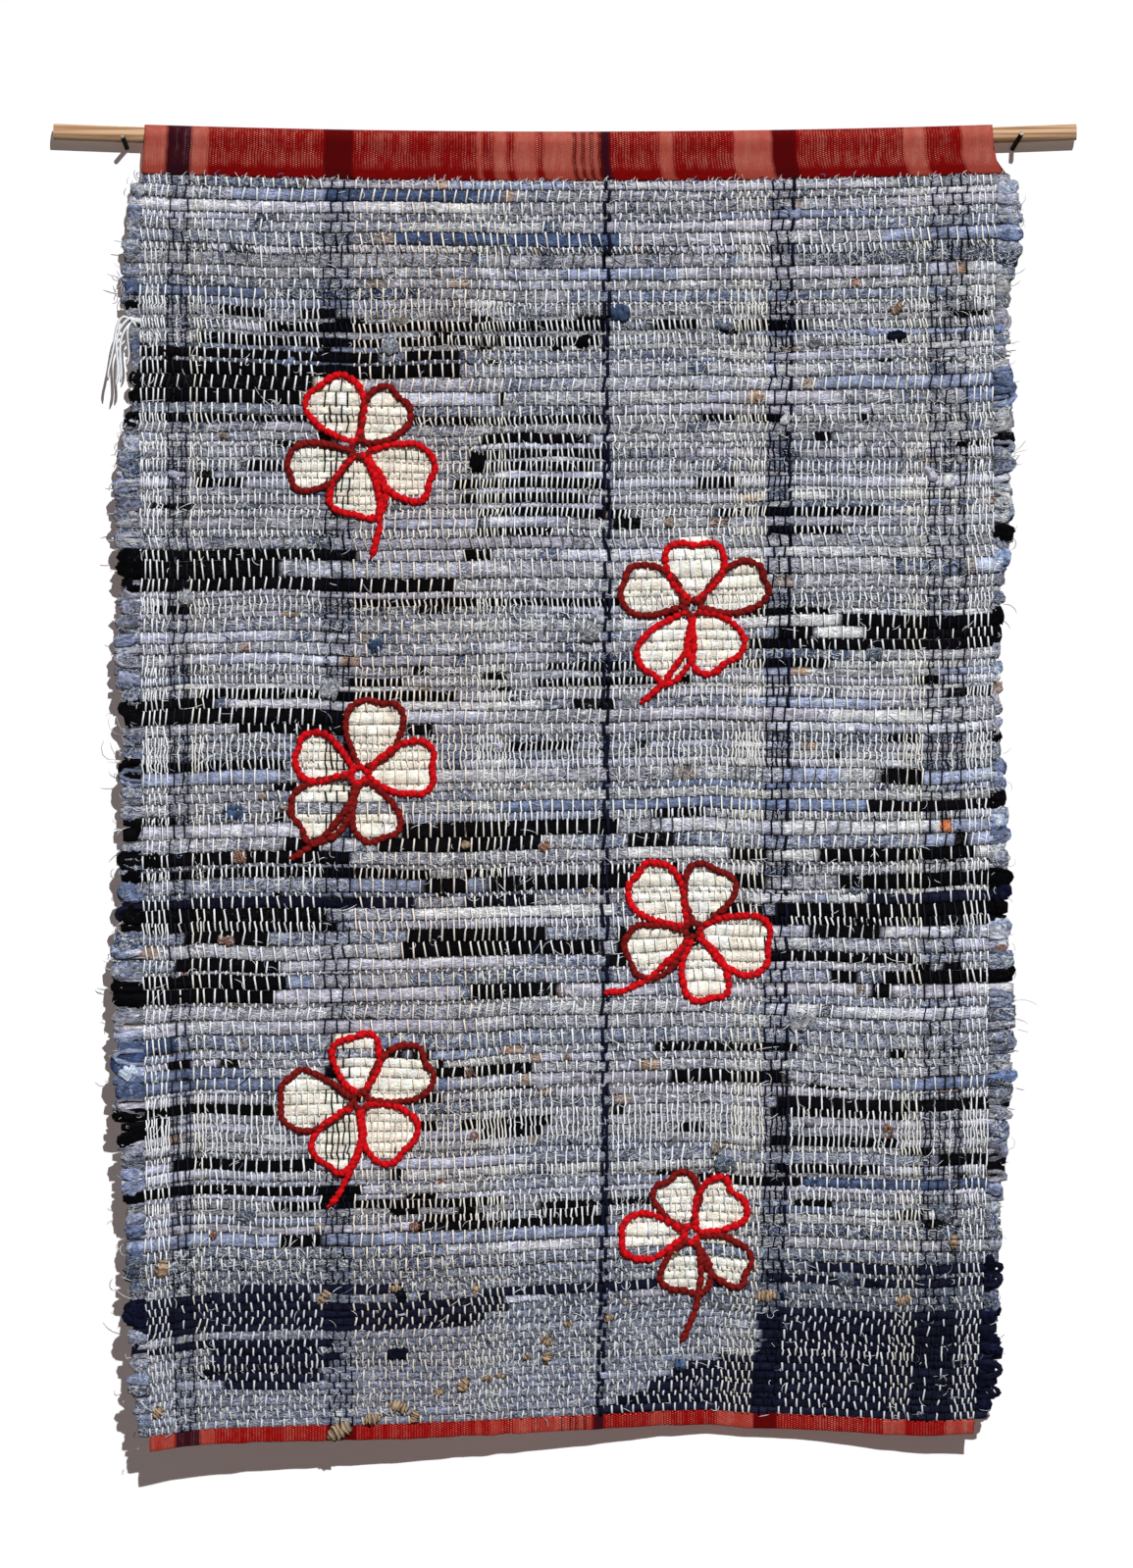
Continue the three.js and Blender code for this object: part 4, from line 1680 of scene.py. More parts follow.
@dataclass
class Foot(RedBand):
    """The narrow red foot under the rag field."""

    thick: float = 2.6
    ruddy: float = 0.66
    bright: float = 1.22
    least_deep: float = 16.0
    flat_wide: float = 0.802
    columns: int = 280
    depth_at: tuple[float, ...] = (-400, -340, -180, -60, -10, 60, 110, 250, 300, 360, 410)
    depths: tuple[float, ...] = (14.4, 15.4, 16, 16.2, 13.4, 12.6, 14.6, 15, 13.6, 14.4, 11.5)
    glow: float = 0.72

    def build(self) -> Piece:
        """Weaves the foot.

        Returns:
            The new piece.
        """
        half = self.thick / 2
        up = np.array([0.0, 0.08, 0.3, 0.5, 0.7, 0.9, 1.08])
        side = np.array([0.35, 0.9, 1.0, 0.9, 1.0, 0.9, 0.7]) * half
        share = np.concatenate([up, up[::-1]])
        forward = np.concatenate([side, -side[::-1]])
        warp = np.linspace(self.left, self.right, self.columns)
        x = HANG.warp_x(warp, np.full(self.columns, 1.0))[:, None]
        at_ends = np.abs(np.linspace(-1, 1, self.columns)) ** 30
        x = x + 0.9 * wander(self.rng, 1, len(share), 2) * at_ends[:, None]
        deep = np.interp(x, self.depth_at, self.depths)
        deep = deep * (1 + 0.05 * wander(self.rng, 1, self.columns, 12).T)
        low = HANG.hem(x) + 0.7 * wander(self.rng, 1, self.columns, 5).T
        z = low + np.where(share > 1, np.maximum(deep * share, self.least_deep), deep * share)
        forward = forward + 0.45 * wander(self.rng, 1, self.columns, 8).T
        y = -HANG.off_wall(np.broadcast_to(x, z.shape), 1 - share * 0.009) - forward
        rings = np.stack([np.broadcast_to(x, z.shape), y, z], -1)
        along = share * HANG.foot_deep
        made = self.piece("red_foot", rings, warp, along, np.full(len(share), self.glow))
        return made


# ---- on the cloth


@dataclass
class Stitching(Craft):
    """The thick twisted yarn couched round the flowers."""

    radius: float = 3.6
    step: float = 2.0
    sides: int = 8
    twist: float = 12.0
    stitch: float = 9.0
    lift: float = 3.4
    least_points: int = 8
    bundle: Bundle = field(default_factory=lambda: Bundle("flower_stitching"))

    def _cord(self, line: Array, colour: Red) -> None:
        """Adds one stitched line.

        Args:
            line: its points (x, down).
            colour: its yarn.
        """
        rng, far = self.rng, run(line)
        count = max(self.least_points, int(far[-1] / self.step))
        at = np.linspace(0, far[-1], count)
        shake = wander(rng, 2, count, 6) * 1.3 + wander(rng, 2, count, 15) * 2.0
        x = np.interp(at, far, line[:, 0]) + shake[0]
        down = np.interp(at, far, line[:, 1]) + shake[1]
        lift = self.lift + 1.1 * np.sin(at * math.pi / 11.5 + rng.uniform(0, 6)) ** 2
        path = HANG.face(x, down, lift)
        ply = 2 * math.pi * at / self.twist
        spokes = rings_round(path[None], 1.0, self.sides, OUTWARD)[0] - path[:, None]
        a = np.arange(self.sides) * 2 * math.pi / self.sides
        lobes = np.abs(np.cos(a[None] - ply[:, None])) ** 0.8
        plump = 1 + 0.13 * wander(rng, 1, count, 5)[0]
        held = np.cos(at * math.pi / self.stitch + wander(rng, 1, count, 7)[0]) ** 24
        plump = plump * (1 - 0.42 * held)
        size = self.radius * plump[:, None] * (0.72 + 0.38 * lobes)
        ends = np.clip(from_ends(count) / 2, 0.35, 1)
        rings = path[:, None] + spokes * (size * ends[:, None])[..., None]
        # Painted shade: the yarn is lighter on the plies' lobes and darker in the grooves between
        # them, and darker again at each couching stitch, where it is pinched.
        dye = colour.light * (0.5 + 0.68 * lobes[..., None])
        dye = dye * (1 + 0.14 * wander(rng, 1, count, 9)[0][:, None, None])
        dye = dye * (1 - 0.5 * held)[:, None, None]
        self.bundle.add(rings[None], np.clip(dye, 0, 1)[None])

    def build(self) -> Piece:
        """Stitches all the flowers.

        Returns:
            The new piece.
        """
        for flower in FLOWERS:
            for line, colour in flower.cords():
                self._cord(line, colour)
        return self.bundle.build(self.finish)


class Lump(NamedTuple):
    """A pleated end of striped tan rag: its place and how wide it is."""

    x: float
    down: float
    wide: float
    slope: float


LUMPS = [Lump(*row) for row in (
    (-224, 1212, 26, 0.5), (-192, 1201, 17, 0.1), (-166, 1190, 19, -0.4), (-151, 1199, 13, 1.2),
    (-127, 1177, 10, 0.3), (-103, 1171, 15, 0.9), (-80, 1166, 11, 0.1), (-67, 1164, 9, -0.3),
    (-42, 1147, 8, 0.6), (-22, 1132, 13, -0.5), (-22, 1148, 12, 1.4), (-1, 1117, 9, 0.2),
    (-240, 1083, 15, 1.0), (-170, 1075, 12, 0.0), (-92, 1079, 10, 1.3), (-396, 1048, 17, 1.4),
    (-400, 1184, 13, 0.7), (192, 1091, 21, 0.1), (326, 1090, 15, 0.3), (375, 1034, 14, 1.5),
    (101, 1053, 11, 0.9), (38, 1113, 11, 0.4), (320, 128, 14, 0.7),
)]


class Knot(NamedTuple):
    """A folded end of another rag: its place, half its width and height, and its dye."""

    x: float
    down: float
    wide: float
    tall: float
    dye: Denim


KNOTS = [Knot(*row[:4], Denim[row[4]]) for row in (
    (-347, 1021, 3.5, 4.5, "RUST"), (-151, 1016, 4.5, 5, "RUST"), (-243, 1015, 5, 4.5, "DUST"),
    (311, 927, 4, 6.5, "RUST"), (143, 950, 4, 6, "DUST"), (-93, 930, 3.5, 5.5, "RUST"),
    (-335, 738, 8, 4.5, "RUST"), (54, 750, 6, 5.5, "RUST"), (83, 720, 3.5, 6, "RUST"),
    (421, 752, 5, 6, "RUST"), (-8, 793, 4, 5, "RUST"), (-322, 658, 6.5, 6.5, "RUST"),
    (-25, 650, 5.5, 6.5, "RUST"), (88, 761, 3.5, 5, "RUST"), (285, 790, 4, 4.5, "DUST"),
    (-98, 868, 4, 5, "RUST"), (-166, 137, 6, 5, "DUST"), (-190, 453, 7, 6.5, "DEEP"),
    (-235, 495, 9, 11, "GREY"), (-374, 407, 6, 9, "PALE"), (18, 442, 11, 11, "GREY"),
    (298, 464, 8, 7.5, "SLATE"), (-328, 614, 9, 7, "DEEP"), (228, 822, 13, 12, "GREY"),
    (152, 965, 10, 8, "SLATE"), (97, 990, 4, 9, "DEEP"), (365, 1005, 7, 9, "SLATE"),
    (-58, 218, 7, 7.5, "GREY"), (-175, 162, 8, 7, "LIGHT"), (240, 160, 6, 5, "GREY"),
    (-315, 1003, 9, 6, "SLATE"), (-430, 270, 8, 9, "SLATE"), (50, 130, 9, 8, "DEEP"),
    (-164, 1082, 5, 9, "NAVY"), (108, 1163, 4, 6, "DEEP"), (-167, 1138, 10, 6, "NAVY"),
    (320, 154, 9, 5, "NAVY"), (150, 142, 8, 5, "SLATE"), (60, 508, 9, 8, "GREY"),
    (-90, 274, 7, 9, "BLACK"), (80, 476, 6, 6, "BLACK"), (-406, 658, 7, 8, "BLACK"),
    (120, 742, 8, 8, "BLACK"), (270, 1072, 8, 7, "SLATE"),
)]


@dataclass
class Turns(Weaving):
    """The rags' turns at the two side edges, and the knots and pleated ends on the face."""

    loops: int = 42
    bits: int = 200
    pleats: int = 12
    bundle: Bundle = field(default_factory=lambda: Bundle("rag_turns_and_knots"))

    def _crumpled(
        self, path: Array, flat: Array, wide: Array, dye: Array, fray: Array | float,
        sides: int = 8, ridged: float = 0.35,
    ) -> None:
        """Adds crumpled tubes of rag, with creases that run along them, painted darker in the
        furrows and lighter on the ridges.

        Args:
            path: tubes by points by 3.
            flat: half their thickness, which fits tubes by points.
            wide: half their width along the cloth.
            dye: a colour for each tube.
            fray: how frayed they are, one value or one a tube.
            sides: corners in a ring.
            ridged: how strongly ridge and furrow alternate round them.
        """
        rng, (tubes, points) = self.rng, path.shape[:2]
        turn = rng.uniform(-0.3, 0.3, (tubes, points))
        rings = rings_round(path, (flat, wide), sides, OUTWARD, turn)
        k, each = np.arange(sides), np.arange(tubes)[:, None, None]
        crease = ridged * (1 - 2 * (k % 2)) + 0.6 * rng.normal(size=(tubes, 1, sides))
        crease = crease + 0.6 * rng.normal(size=(tubes, points, sides))
        crease = np.clip(crease, -1.8, 1.8)
        centre = path[:, :, None]
        rings = centre + (rings - centre) * (1 + 0.20 * crease[..., None])
        # Painted shade and light: corners pushed in to furrows are darker and corners pushed out
        # to ridges lighter, times a random tone.
        painted_shade_and_tone = (1 + 0.42 * crease[..., None]) * rng.uniform(0.8, 1.15, (tubes, points, 1, 1))
        colour = np.clip(dye[:, None, None] * np.maximum(painted_shade_and_tone, 0.15), 0, 0.9)
        round_it = np.sin(k * 2 * math.pi / sides) + NEXT_RAG * each
        along = 4.0 * np.arange(points)[:, None]
        self.bundle.add(rings, colour, (np.reshape(fray, (-1, 1, 1)), round_it, along))

    def _leave(self, right: bool, down: Array, clear: float) -> tuple[Any, ...]:
        """Finds where rags leave one edge.

        Args:
            right: which edge.
            down: a column of places down the cloth.
            clear: how far outside the last warp end the rags start.

        Returns:
            The way out, then for each rag its start, its reach, its dye and how frayed it is.
        """
        loom, (side, out) = self.loom, (-1, 1.0) if right else (0, -1.0)
        start = np.interp(down, loom.middle, loom.end_row[:, side]) + out * clear
        reach = np.abs(HANG.edges(down)[1 if right else 0] - start)
        rows = np.abs(down - loom.middle).argmin(1)
        return out, start, reach, loom.colour[rows, side], loom.fray[rows, side]

    def _side(self, right: bool) -> None:
        """Adds the crumpled turns of one edge, each about two rows tall.

        Args:
            right: which edge.
        """
        rng, last = self.rng, self.loom.edge[-1] - 6
        down = np.cumsum(rng.uniform(9.5, 21, 200))
        down = down[down < last][:, None]
        each, t = down.shape, np.linspace(0, 1, 8)
        out, start, reach, dye, fray = self._leave(right, down, 1.0)
        reach = np.maximum(reach + rng.uniform(-8, 1.5, each), 8)
        x = start + out * reach * t
        x = x + 0.6 * rng.normal(size=x.shape)
        fall = rng.normal(0, 0.25, each) * reach * t + rng.normal(0, 0.08, each) * reach * t**2
        shape = (0.62 + 0.5 * np.sin(2.2 * t)) * np.sqrt(1 - (0.96 * t) ** 6)
        tall = rng.uniform(5.0, 9.0, each) * shape
        down = np.clip(down + fall, tall - 2, last + 8 - tall)
        proud = rng.uniform(0.8, 2.6, each) + 0.6 * rng.normal(size=x.shape)
        path = HANG.face(x, down, proud)
        flat = rng.uniform(2.2, 3.6, each) * shape**0.6
        dye = dye * rng.uniform(0.5, 0.95, each) * [0.84, 0.96, 1.14]
        self._crumpled(path, flat, tall, dye, fray, 14, 0.6)

    def _loops(self, right: bool) -> None:
        """Adds narrow torn strips that loop out of one edge.

        Args:
            right: which edge.
        """
        rng, each, a = self.rng, (self.loops, 1), np.linspace(0, math.pi, 9)
        down = rng.uniform(12, self.loom.edge[-1] - 18, each)
        out, start, reach, dye, fray = self._leave(right, down, 4.0)
        reach = reach + rng.uniform(-4, 2.5, each)
        x = start + out * (reach * np.sin(a) ** 0.7 - 2.5)
        down = down - rng.uniform(3, 8, each) * np.cos(a) + rng.normal(0, 2, each) * np.sin(a)
        path = HANG.face(x, down, 3.2 + rng.uniform(-1, 1.6, each) * np.sin(a))
        size = rng.uniform(1.5, 2.5, each) * (1 + 0.15 * rng.normal(size=x.shape))
        dye = dye * rng.uniform(0.4, 1.2, each)
        self._crumpled(path, size * 0.8, size * 1.3, dye, 0.6 * fray, 7)

    def _bits(self) -> None:
        """Adds folded rag ends that stand out of the face here and there."""
        loom, rng, count = self.loom, self.rng, self.bits
        each, t = (count, 1), np.linspace(-1, 1, 6)
        k = rng.integers(1, loom.rows - 1, count)
        c = rng.integers(6, loom.x.shape[1] - 6, count)
        x, down = loom.x[k, c], loom.down[k, c]
        keep = ~np.any([flower.covers(x, down) for flower in FLOWERS], axis=0)
        large = rng.random(each) < 0.12
        length = np.where(large, rng.uniform(6, 9, each), rng.uniform(3, 6.5, each))
        way = rng.normal(0, 0.5, each)
        x = x[:, None] + length * t * np.cos(way)
        down = down[:, None] + length * t * np.sin(way)
        path = HANG.face(x, down, 2.6 + 0.7 * rng.normal(size=x.shape))
        tall = np.where(large, rng.uniform(4.5, 6.5, each), rng.uniform(2.6, 4.4, each))
        tall = tall * np.sqrt(np.clip(1 - (0.93 * t) ** 2, 0, 1))
        dye = loom.colour[k, c] * rng.uniform(0.65, 1.05, each)
        brown = rng.random(count) < 0.04
        dye[brown] = Denim.DUST.light * rng.uniform(0.6, 1.1, (brown.sum(), 1))
        fray = (0.8 * loom.fray[k, c])[keep]
        self._crumpled(path[keep], 0.55 * tall[keep], tall[keep], dye[keep], fray)

    def _knots(self) -> None:
        """Adds the folded ends of other rags that show on the face, outside the petals."""
        rng, t = self.rng, np.linspace(-1, 1, 10)
        for knot in KNOTS:
            if any(flower.covers(knot.x, knot.down) for flower in FLOWERS):
                continue
            x, down = knot.x + knot.wide * t, knot.down + rng.uniform(-1.5, 1.5) * t
            proud = 2.9 + 0.5 * rng.normal(size=len(t))
            path = HANG.face(x, down, proud)[None]
            tall = knot.tall * np.sqrt(1 - (0.9 * t) ** 4) * rng.uniform(0.68, 1.15, len(t))
            dye = knot.dye.light[None] * rng.uniform(0.75, 1.1)
            thin = np.minimum(0.5 * tall, 3.0)[None]
            fray = 0.15 if knot.dye in (Denim.BLACK, Denim.NAVY, Denim.DEEP) else 0.6
            self._crumpled(path, thin, tall[None], dye, fray, 12, 0.9)

    def _pleats(self) -> None:
        """Adds the pleated tan ends, most of them up a slope from the foot."""
        rng, k = self.rng, np.arange(self.pleats)
        t = np.linspace(-0.5, 0.5, len(k))
        ridge = np.where(k % 2 == 0, 1.2, 0.68)
        ends = np.sqrt(np.clip(1.06 - (2 * t) ** 2, 0.1, 1))
        tan, navy = Denim.DUST.light * 0.9, Denim.NAVY.light
        stripe = np.where(k % 4 == 3, 1.0, 0.0)[:, None]
        # Painted shade: the smaller tubes in the folds between the pleats' ridges are coloured a
        # fifth as bright, and the ridges a quarter brighter.
        dye = (tan * (1 - stripe) + navy * stripe) * np.where(ridge > 1, 1.25, 0.2)[:, None]
        for lump in LUMPS:
            x = lump.x + lump.wide * t * math.cos(lump.slope)
            down = lump.down - lump.wide * t * math.sin(lump.slope)
            path = HANG.face(x, down, 3.6 + 0.5 * rng.normal(size=len(k)))[None]
            tall = (0.34 * lump.wide * ridge * ends * rng.uniform(0.7, 1.2, len(k)))[None]
            turn = rng.uniform(-0.3, 0.3, tall.shape)
            rings = rings_round(path, (tall * 0.62, tall), 8, OUTWARD, turn)
            rings = rings + 0.6 * rng.normal(size=rings.shape)
            self.bundle.add(rings, np.clip(dye, 0, 0.9)[None, :, None], (0, 0, lump.x))

    def build(self) -> Piece:
        """Makes the turns, knots and pleated ends.

        Returns:
            All of them as one piece.
        """
        for right in (False, True):
            self._side(right)
            self._loops(right)
        self._bits()
        self._knots()
        self._pleats()
        return self.bundle.build(self.finish)


@dataclass
class Threads(Weaving):
    """Frayed threads: short curls on both faces, tufts at the edges, loose yarn."""

    curls: int = 6800
    tufts: int = 420
    fringe: int = 520
    hank: tuple[tuple[float, ...], ...] = (
        (13, 58, 1.7), (19, 68, 1.6), (23, 62, 1.6), (9, 42, 1.2),
    )
    short: Bundle = field(default_factory=lambda: Bundle("frayed_curls"))
    rest: Bundle = field(default_factory=lambda: Bundle("frayed_edges"))

    def _rings(self, path: Array, radius: Array | float) -> Array:
        """Leads thin tapered tubes along paths.

        Args:
            path: tubes by points by 3.
            radius: one for each tube, or one for all.

        Returns:
            Their corners, as tubes by points by sides by 3.
        """
        taper = np.full(path.shape[1], 1.0)
        taper[[0, -1]] = 0.4
        return rings_round(path, radius * taper, 3, np.array([0.13, -1.0, 0.21]))

    def _spin(self, bundle: Bundle, path: Array, radius: Array, pale: float = 1.0) -> None:
        """Adds threads, white more often than blue.

        Args:
            bundle: the piece that they join.
            path: tubes by points by 3.
            radius: one for each tube.
            pale: how bright they are.
        """
        kinds = np.array([yarn.light for yarn in (Yarn.WHITE, Yarn.HAZE, Yarn.BLUE, Yarn.INK)])
        hues = kinds[self.rng.choice(4, len(path), p=[0.60, 0.25, 0.10, 0.05])]
        bundle.add(self._rings(path, radius), (hues * pale)[:, None, None])

    def _curls(self) -> None:
        """Adds short curled threads where the rags are frayed."""
        loom, rng, each = self.loom, self.rng, (self.curls, 1)
        odds = ((loom.fray**1.6 + 0.12 * loom.dark) * loom.half * ~loom.petal).ravel()
        spot = rng.choice(odds.size, each, p=odds / odds.sum())
        k, c = np.unravel_index(spot, loom.fray.shape)
        rim = rng.uniform(-1, 1, each)
        rim = np.sign(rim) * np.abs(rim) ** 0.6
        x = loom.x[k, c] + rng.uniform(-2.5, 2.5, each)
        down = loom.down[k, c] + rim * loom.half[k, c]
        back = rng.random(each) < 0.12
        lying = rng.random(each) < 0.45
        turn = rng.normal(0, np.where(lying, 0.25, 0.9), each)
        turn = turn + np.where(rng.random(each) < 0.5, 0, math.pi)
        t = np.linspace(0, 1, 5)
        turn = turn + rng.normal(0, np.where(lying, 1.3, 2.8), each) * t
        length = rng.gamma(4.0, np.where(lying, 2.3, 1.6), each) + 2.0
        x = x + np.cumsum(np.cos(turn) * length / 4, 1)
        down = down + np.cumsum(np.sin(turn) * length / 4, 1)
        hump = rng.uniform(0.2, 1.5, each) * np.sin(t * math.pi) + 0.3
        proud = loom.thick[k, c] * (1.05 - 0.3 * rim**2) + hump
        path = HANG.face(x, np.maximum(down, -4), proud, back)
        self._spin(self.short, path, rng.uniform(0.30, 0.52, each))

    def _tufts(self) -> None:
        """Adds longer threads that stand out of the side edges."""
        loom, rng, each, t = self.loom, self.rng, (self.tufts, 1), np.linspace(0, 1, 5)
        k = rng.integers(0, loom.rows, each)
        left = rng.random(each) < 0.5
        side, out = np.where(left, 0, loom.x.shape[1] - 1), np.where(left, -1.0, 1.0)
        x = loom.x[k, side] + out * rng.uniform(-12, -1, each)
        down = loom.down[k, side] + rng.normal(0, 4, each)
        length = rng.gamma(2.0, 1.8, each) + 2.5
        way = rng.normal(0.25, 0.8, each) + rng.normal(0, 1.0, each) * t
        x = x + out * length * t * np.cos(way)
        down = down + length * (np.sin(way) * t + 0.2 * t**2)
        proud = rng.normal(1.5, 2.2, each) + rng.normal(0, 0.5, x.shape)
        low, high = HANG.edges(down)
        path = HANG.face(np.clip(x, low - 16, high + 16), np.maximum(down, -3), proud)
        self._spin(self.rest, path, rng.uniform(0.22, 0.42, each))

    def _fringe_over(self) -> None:
        """Adds tufts of the first row that lap over the heading's stitched edge."""
        rng, each, t = self.rng, (self.fringe, 1), np.linspace(0, 1, 4)
        near = np.cumsum(rng.exponential(1, each))[:, None]
        x = -410 + 822 * near / near[-1] + 6 * wander(rng, 1, self.fringe, 3).T
        way = rng.normal(-math.pi / 2, 0.9, each) + 0.8 * t
        length = rng.gamma(3.0, 1.05, each) + 1.5
        x, down = x + length * np.cos(way) * t, 2.5 + length * np.sin(way) * t
        path = HANG.face(x, down, 3.2 + 0.8 * np.sin(math.pi * t))
        self._spin(self.rest, path, rng.uniform(0.3, 0.7, each), 0.8)

    def _loose_yarn(self) -> None:
        """Adds the hank of loose white yarn that hangs at the left edge."""
        rng, t = self.rng, np.linspace(0, 1, 20)
        for reach, fall, size in self.hank:
            x = -421 - reach * np.sin(np.minimum(t * 2.6, math.pi / 2)) - 5 * t**2
            x = x + 1.8 * np.sin(t * 9 + rng.uniform(0, 6)) + rng.normal(0, 1)
            down = rng.uniform(143, 150) - 10 * np.sin(np.minimum(t * 4, math.pi))
            down = down + 8 * t + fall * np.maximum(t - 0.2, 0) ** 1.1
            path = HANG.face(x, down, 6 + 3 * np.sin(t * 2.4 + rng.uniform(0, 1)))
            self.rest.add(self._rings(path[None], size), Yarn.WHITE.light)

    def build(self) -> list[Piece]:
        """Spins the loose threads.

        Returns:
            Two pieces: the short curls, and the rest.
        """
        self._curls()
        self._tufts()
        self._fringe_over()
        self._loose_yarn()
        return [bundle.build(self.finish) for bundle in (self.short, self.rest)]


# ---- dowel and nails


@dataclass
class Turned:
    """What the dowel and the nails share: each is worked from a cylinder."""

    name: str
    finish: Finish

    def _blank(self, sides: int, radius: float, long: float, middle: Array, *turn: float) -> Piece:
        """Starts a piece.

        Args:
            sides: how many sides stand for the round.
            radius: its radius.
            long: its length.
            middle: its middle.
            turn: its turns about the second and the third axis.

        Returns:
            The cylinder.
        """
        select_none()
        size = {"vertices": sides, "radius": radius * MM, "depth": long * MM}
        place = {"location": tuple(middle * MM), "rotation": (0, *turn)}
        bpy.ops.mesh.primitive_cylinder_add(**size, **place)
        piece = bpy.context.object
        piece.name = piece.data.name = self.name
        bpy.ops.object.transform_apply(location=True, rotation=True, scale=True)
        return piece

    def _edit(self, piece: Piece, chosen: Array) -> None:
        """Opens a piece for editing.

        Args:
            piece: the piece.
            chosen: whether each of its faces is selected.
        """
        piece.data.polygons.foreach_set("select", chosen)
        bpy.ops.object.mode_set(mode="EDIT")
        bpy.ops.mesh.select_mode(type="FACE")

    def _dress(self, piece: Piece) -> Piece:
        """Shades a piece smooth but for its edges, and gives it its finish."""
        bpy.ops.object.shade_smooth_by_angle(angle=math.radians(35))
        piece.data.materials.append(self.finish)
        return piece


@dataclass
class Dowel(Turned):
    """The pine dowel, bowed between its nails by the cloth's weight."""

    radius: float = 8.0
    left: float = -504.5
    right: float = 495.5
    rounded: float = 0.5
    lengths: int = 32

    def build(self) -> Piece:
        """Turns the dowel, cuts it into lengths and bows it.

        Returns:
            The new piece.
        """
        long = self.right - self.left
        middle = np.array([(self.left + self.right) / 2, -HANG.rod_off, 0])
        piece = self._blank(48, self.radius, long, middle, math.pi / 2, 0)
        self._edit(piece, np.array([abs(p.normal.x) > 0.9 for p in piece.data.polygons]))
        bpy.ops.mesh.region_to_loop()
        bpy.ops.mesh.bevel(offset=self.rounded * MM, segments=2)
        for k in range(1, self.lengths):
            bpy.ops.mesh.select_all(action="SELECT")
            x = self.left + long * k / self.lengths
            bpy.ops.mesh.bisect(plane_co=(x * MM, 0, 0), plane_no=(1, 0, 0))
        bpy.ops.object.mode_set(mode="OBJECT")
        points = np.zeros(len(piece.data.vertices) * 3)
        piece.data.vertices.foreach_get("co", points)
        points = points.reshape(-1, 3)
        points[:, 2] += HANG.rod_height(points[:, 0] / MM) * MM
        piece.data.vertices.foreach_set("co", points.ravel())
        piece.data.update()
        return self._dress(piece)


@dataclass
class Nail(Turned):
    """A wire nail, from its flat foot on the wall to its head."""

    x: float
    out: float
    aside: float
    rise: float
    radius: float = 1.25
    head: float = 2.3
    head_thick: float = 1.2
    crown: float = 0.35
    crown_share: float = 0.82
    inside: float = 6.0
    clear: float = 0.3

    def _foot(self, along: Array) -> Array:
        """Finds the shank's foot on the wall.

        Args:
            along: the way that the shank points.

        Returns:
            The place at which the dowel lies just clear of the shank.
        """
        rod = unit(np.array([1, 0, 2 * HANG.rod_bow * self.x]))
        between = unit(np.cross(along, rod))
        between = between * np.sign(between[2])
        reach = Dowel.radius + self.radius + self.clear
        rise = (-between[1] * HANG.rod_off - reach) / between[2]
        return np.array([self.x, 0, HANG.rod_height(self.x) + rise])

    def build(self) -> Piece:
        """Draws the shank, upsets its head, leans it and cuts it off at the wall.

        Returns:
            The new piece.
        """
        along = unit(np.array([self.aside, -self.out, self.rise]))
        length = math.hypot(self.aside, self.out, self.rise)
        shank = length - self.head_thick + self.inside
        middle = self._foot(along) + along * (shank / 2 - self.inside)
        turn = math.acos(along[2]), math.atan2(along[1], along[0])
        piece = self._blank(20, self.radius, shank, middle, *turn)
        self._edit(piece, np.array([np.dot(p.normal, along) > 0.9 for p in piece.data.polygons]))
        centre = tuple((middle + along * shank / 2) * MM)
        bpy.ops.mesh.extrude_region_move()
        bpy.ops.transform.resize(value=(self.head / self.radius,) * 3, center_override=centre)
        for far in (self.head_thick - self.crown, self.crown):
            push = {"value": tuple(along * far * MM)}
            bpy.ops.mesh.extrude_region_move(TRANSFORM_OT_translate=push)
        top = tuple((middle + along * (shank / 2 + self.head_thick)) * MM)
        bpy.ops.transform.resize(value=(self.crown_share,) * 3, center_override=top)
        bpy.ops.mesh.inset(thickness=0.25 * MM)
        bpy.ops.mesh.select_all(action="SELECT")
        wall = {"plane_co": (0, 0, 0), "plane_no": (0, 1, 0)}
        bpy.ops.mesh.bisect(**wall, clear_outer=True, use_fill=True)
        bpy.ops.object.mode_set(mode="OBJECT")
        return self._dress(piece)


# ---- stage


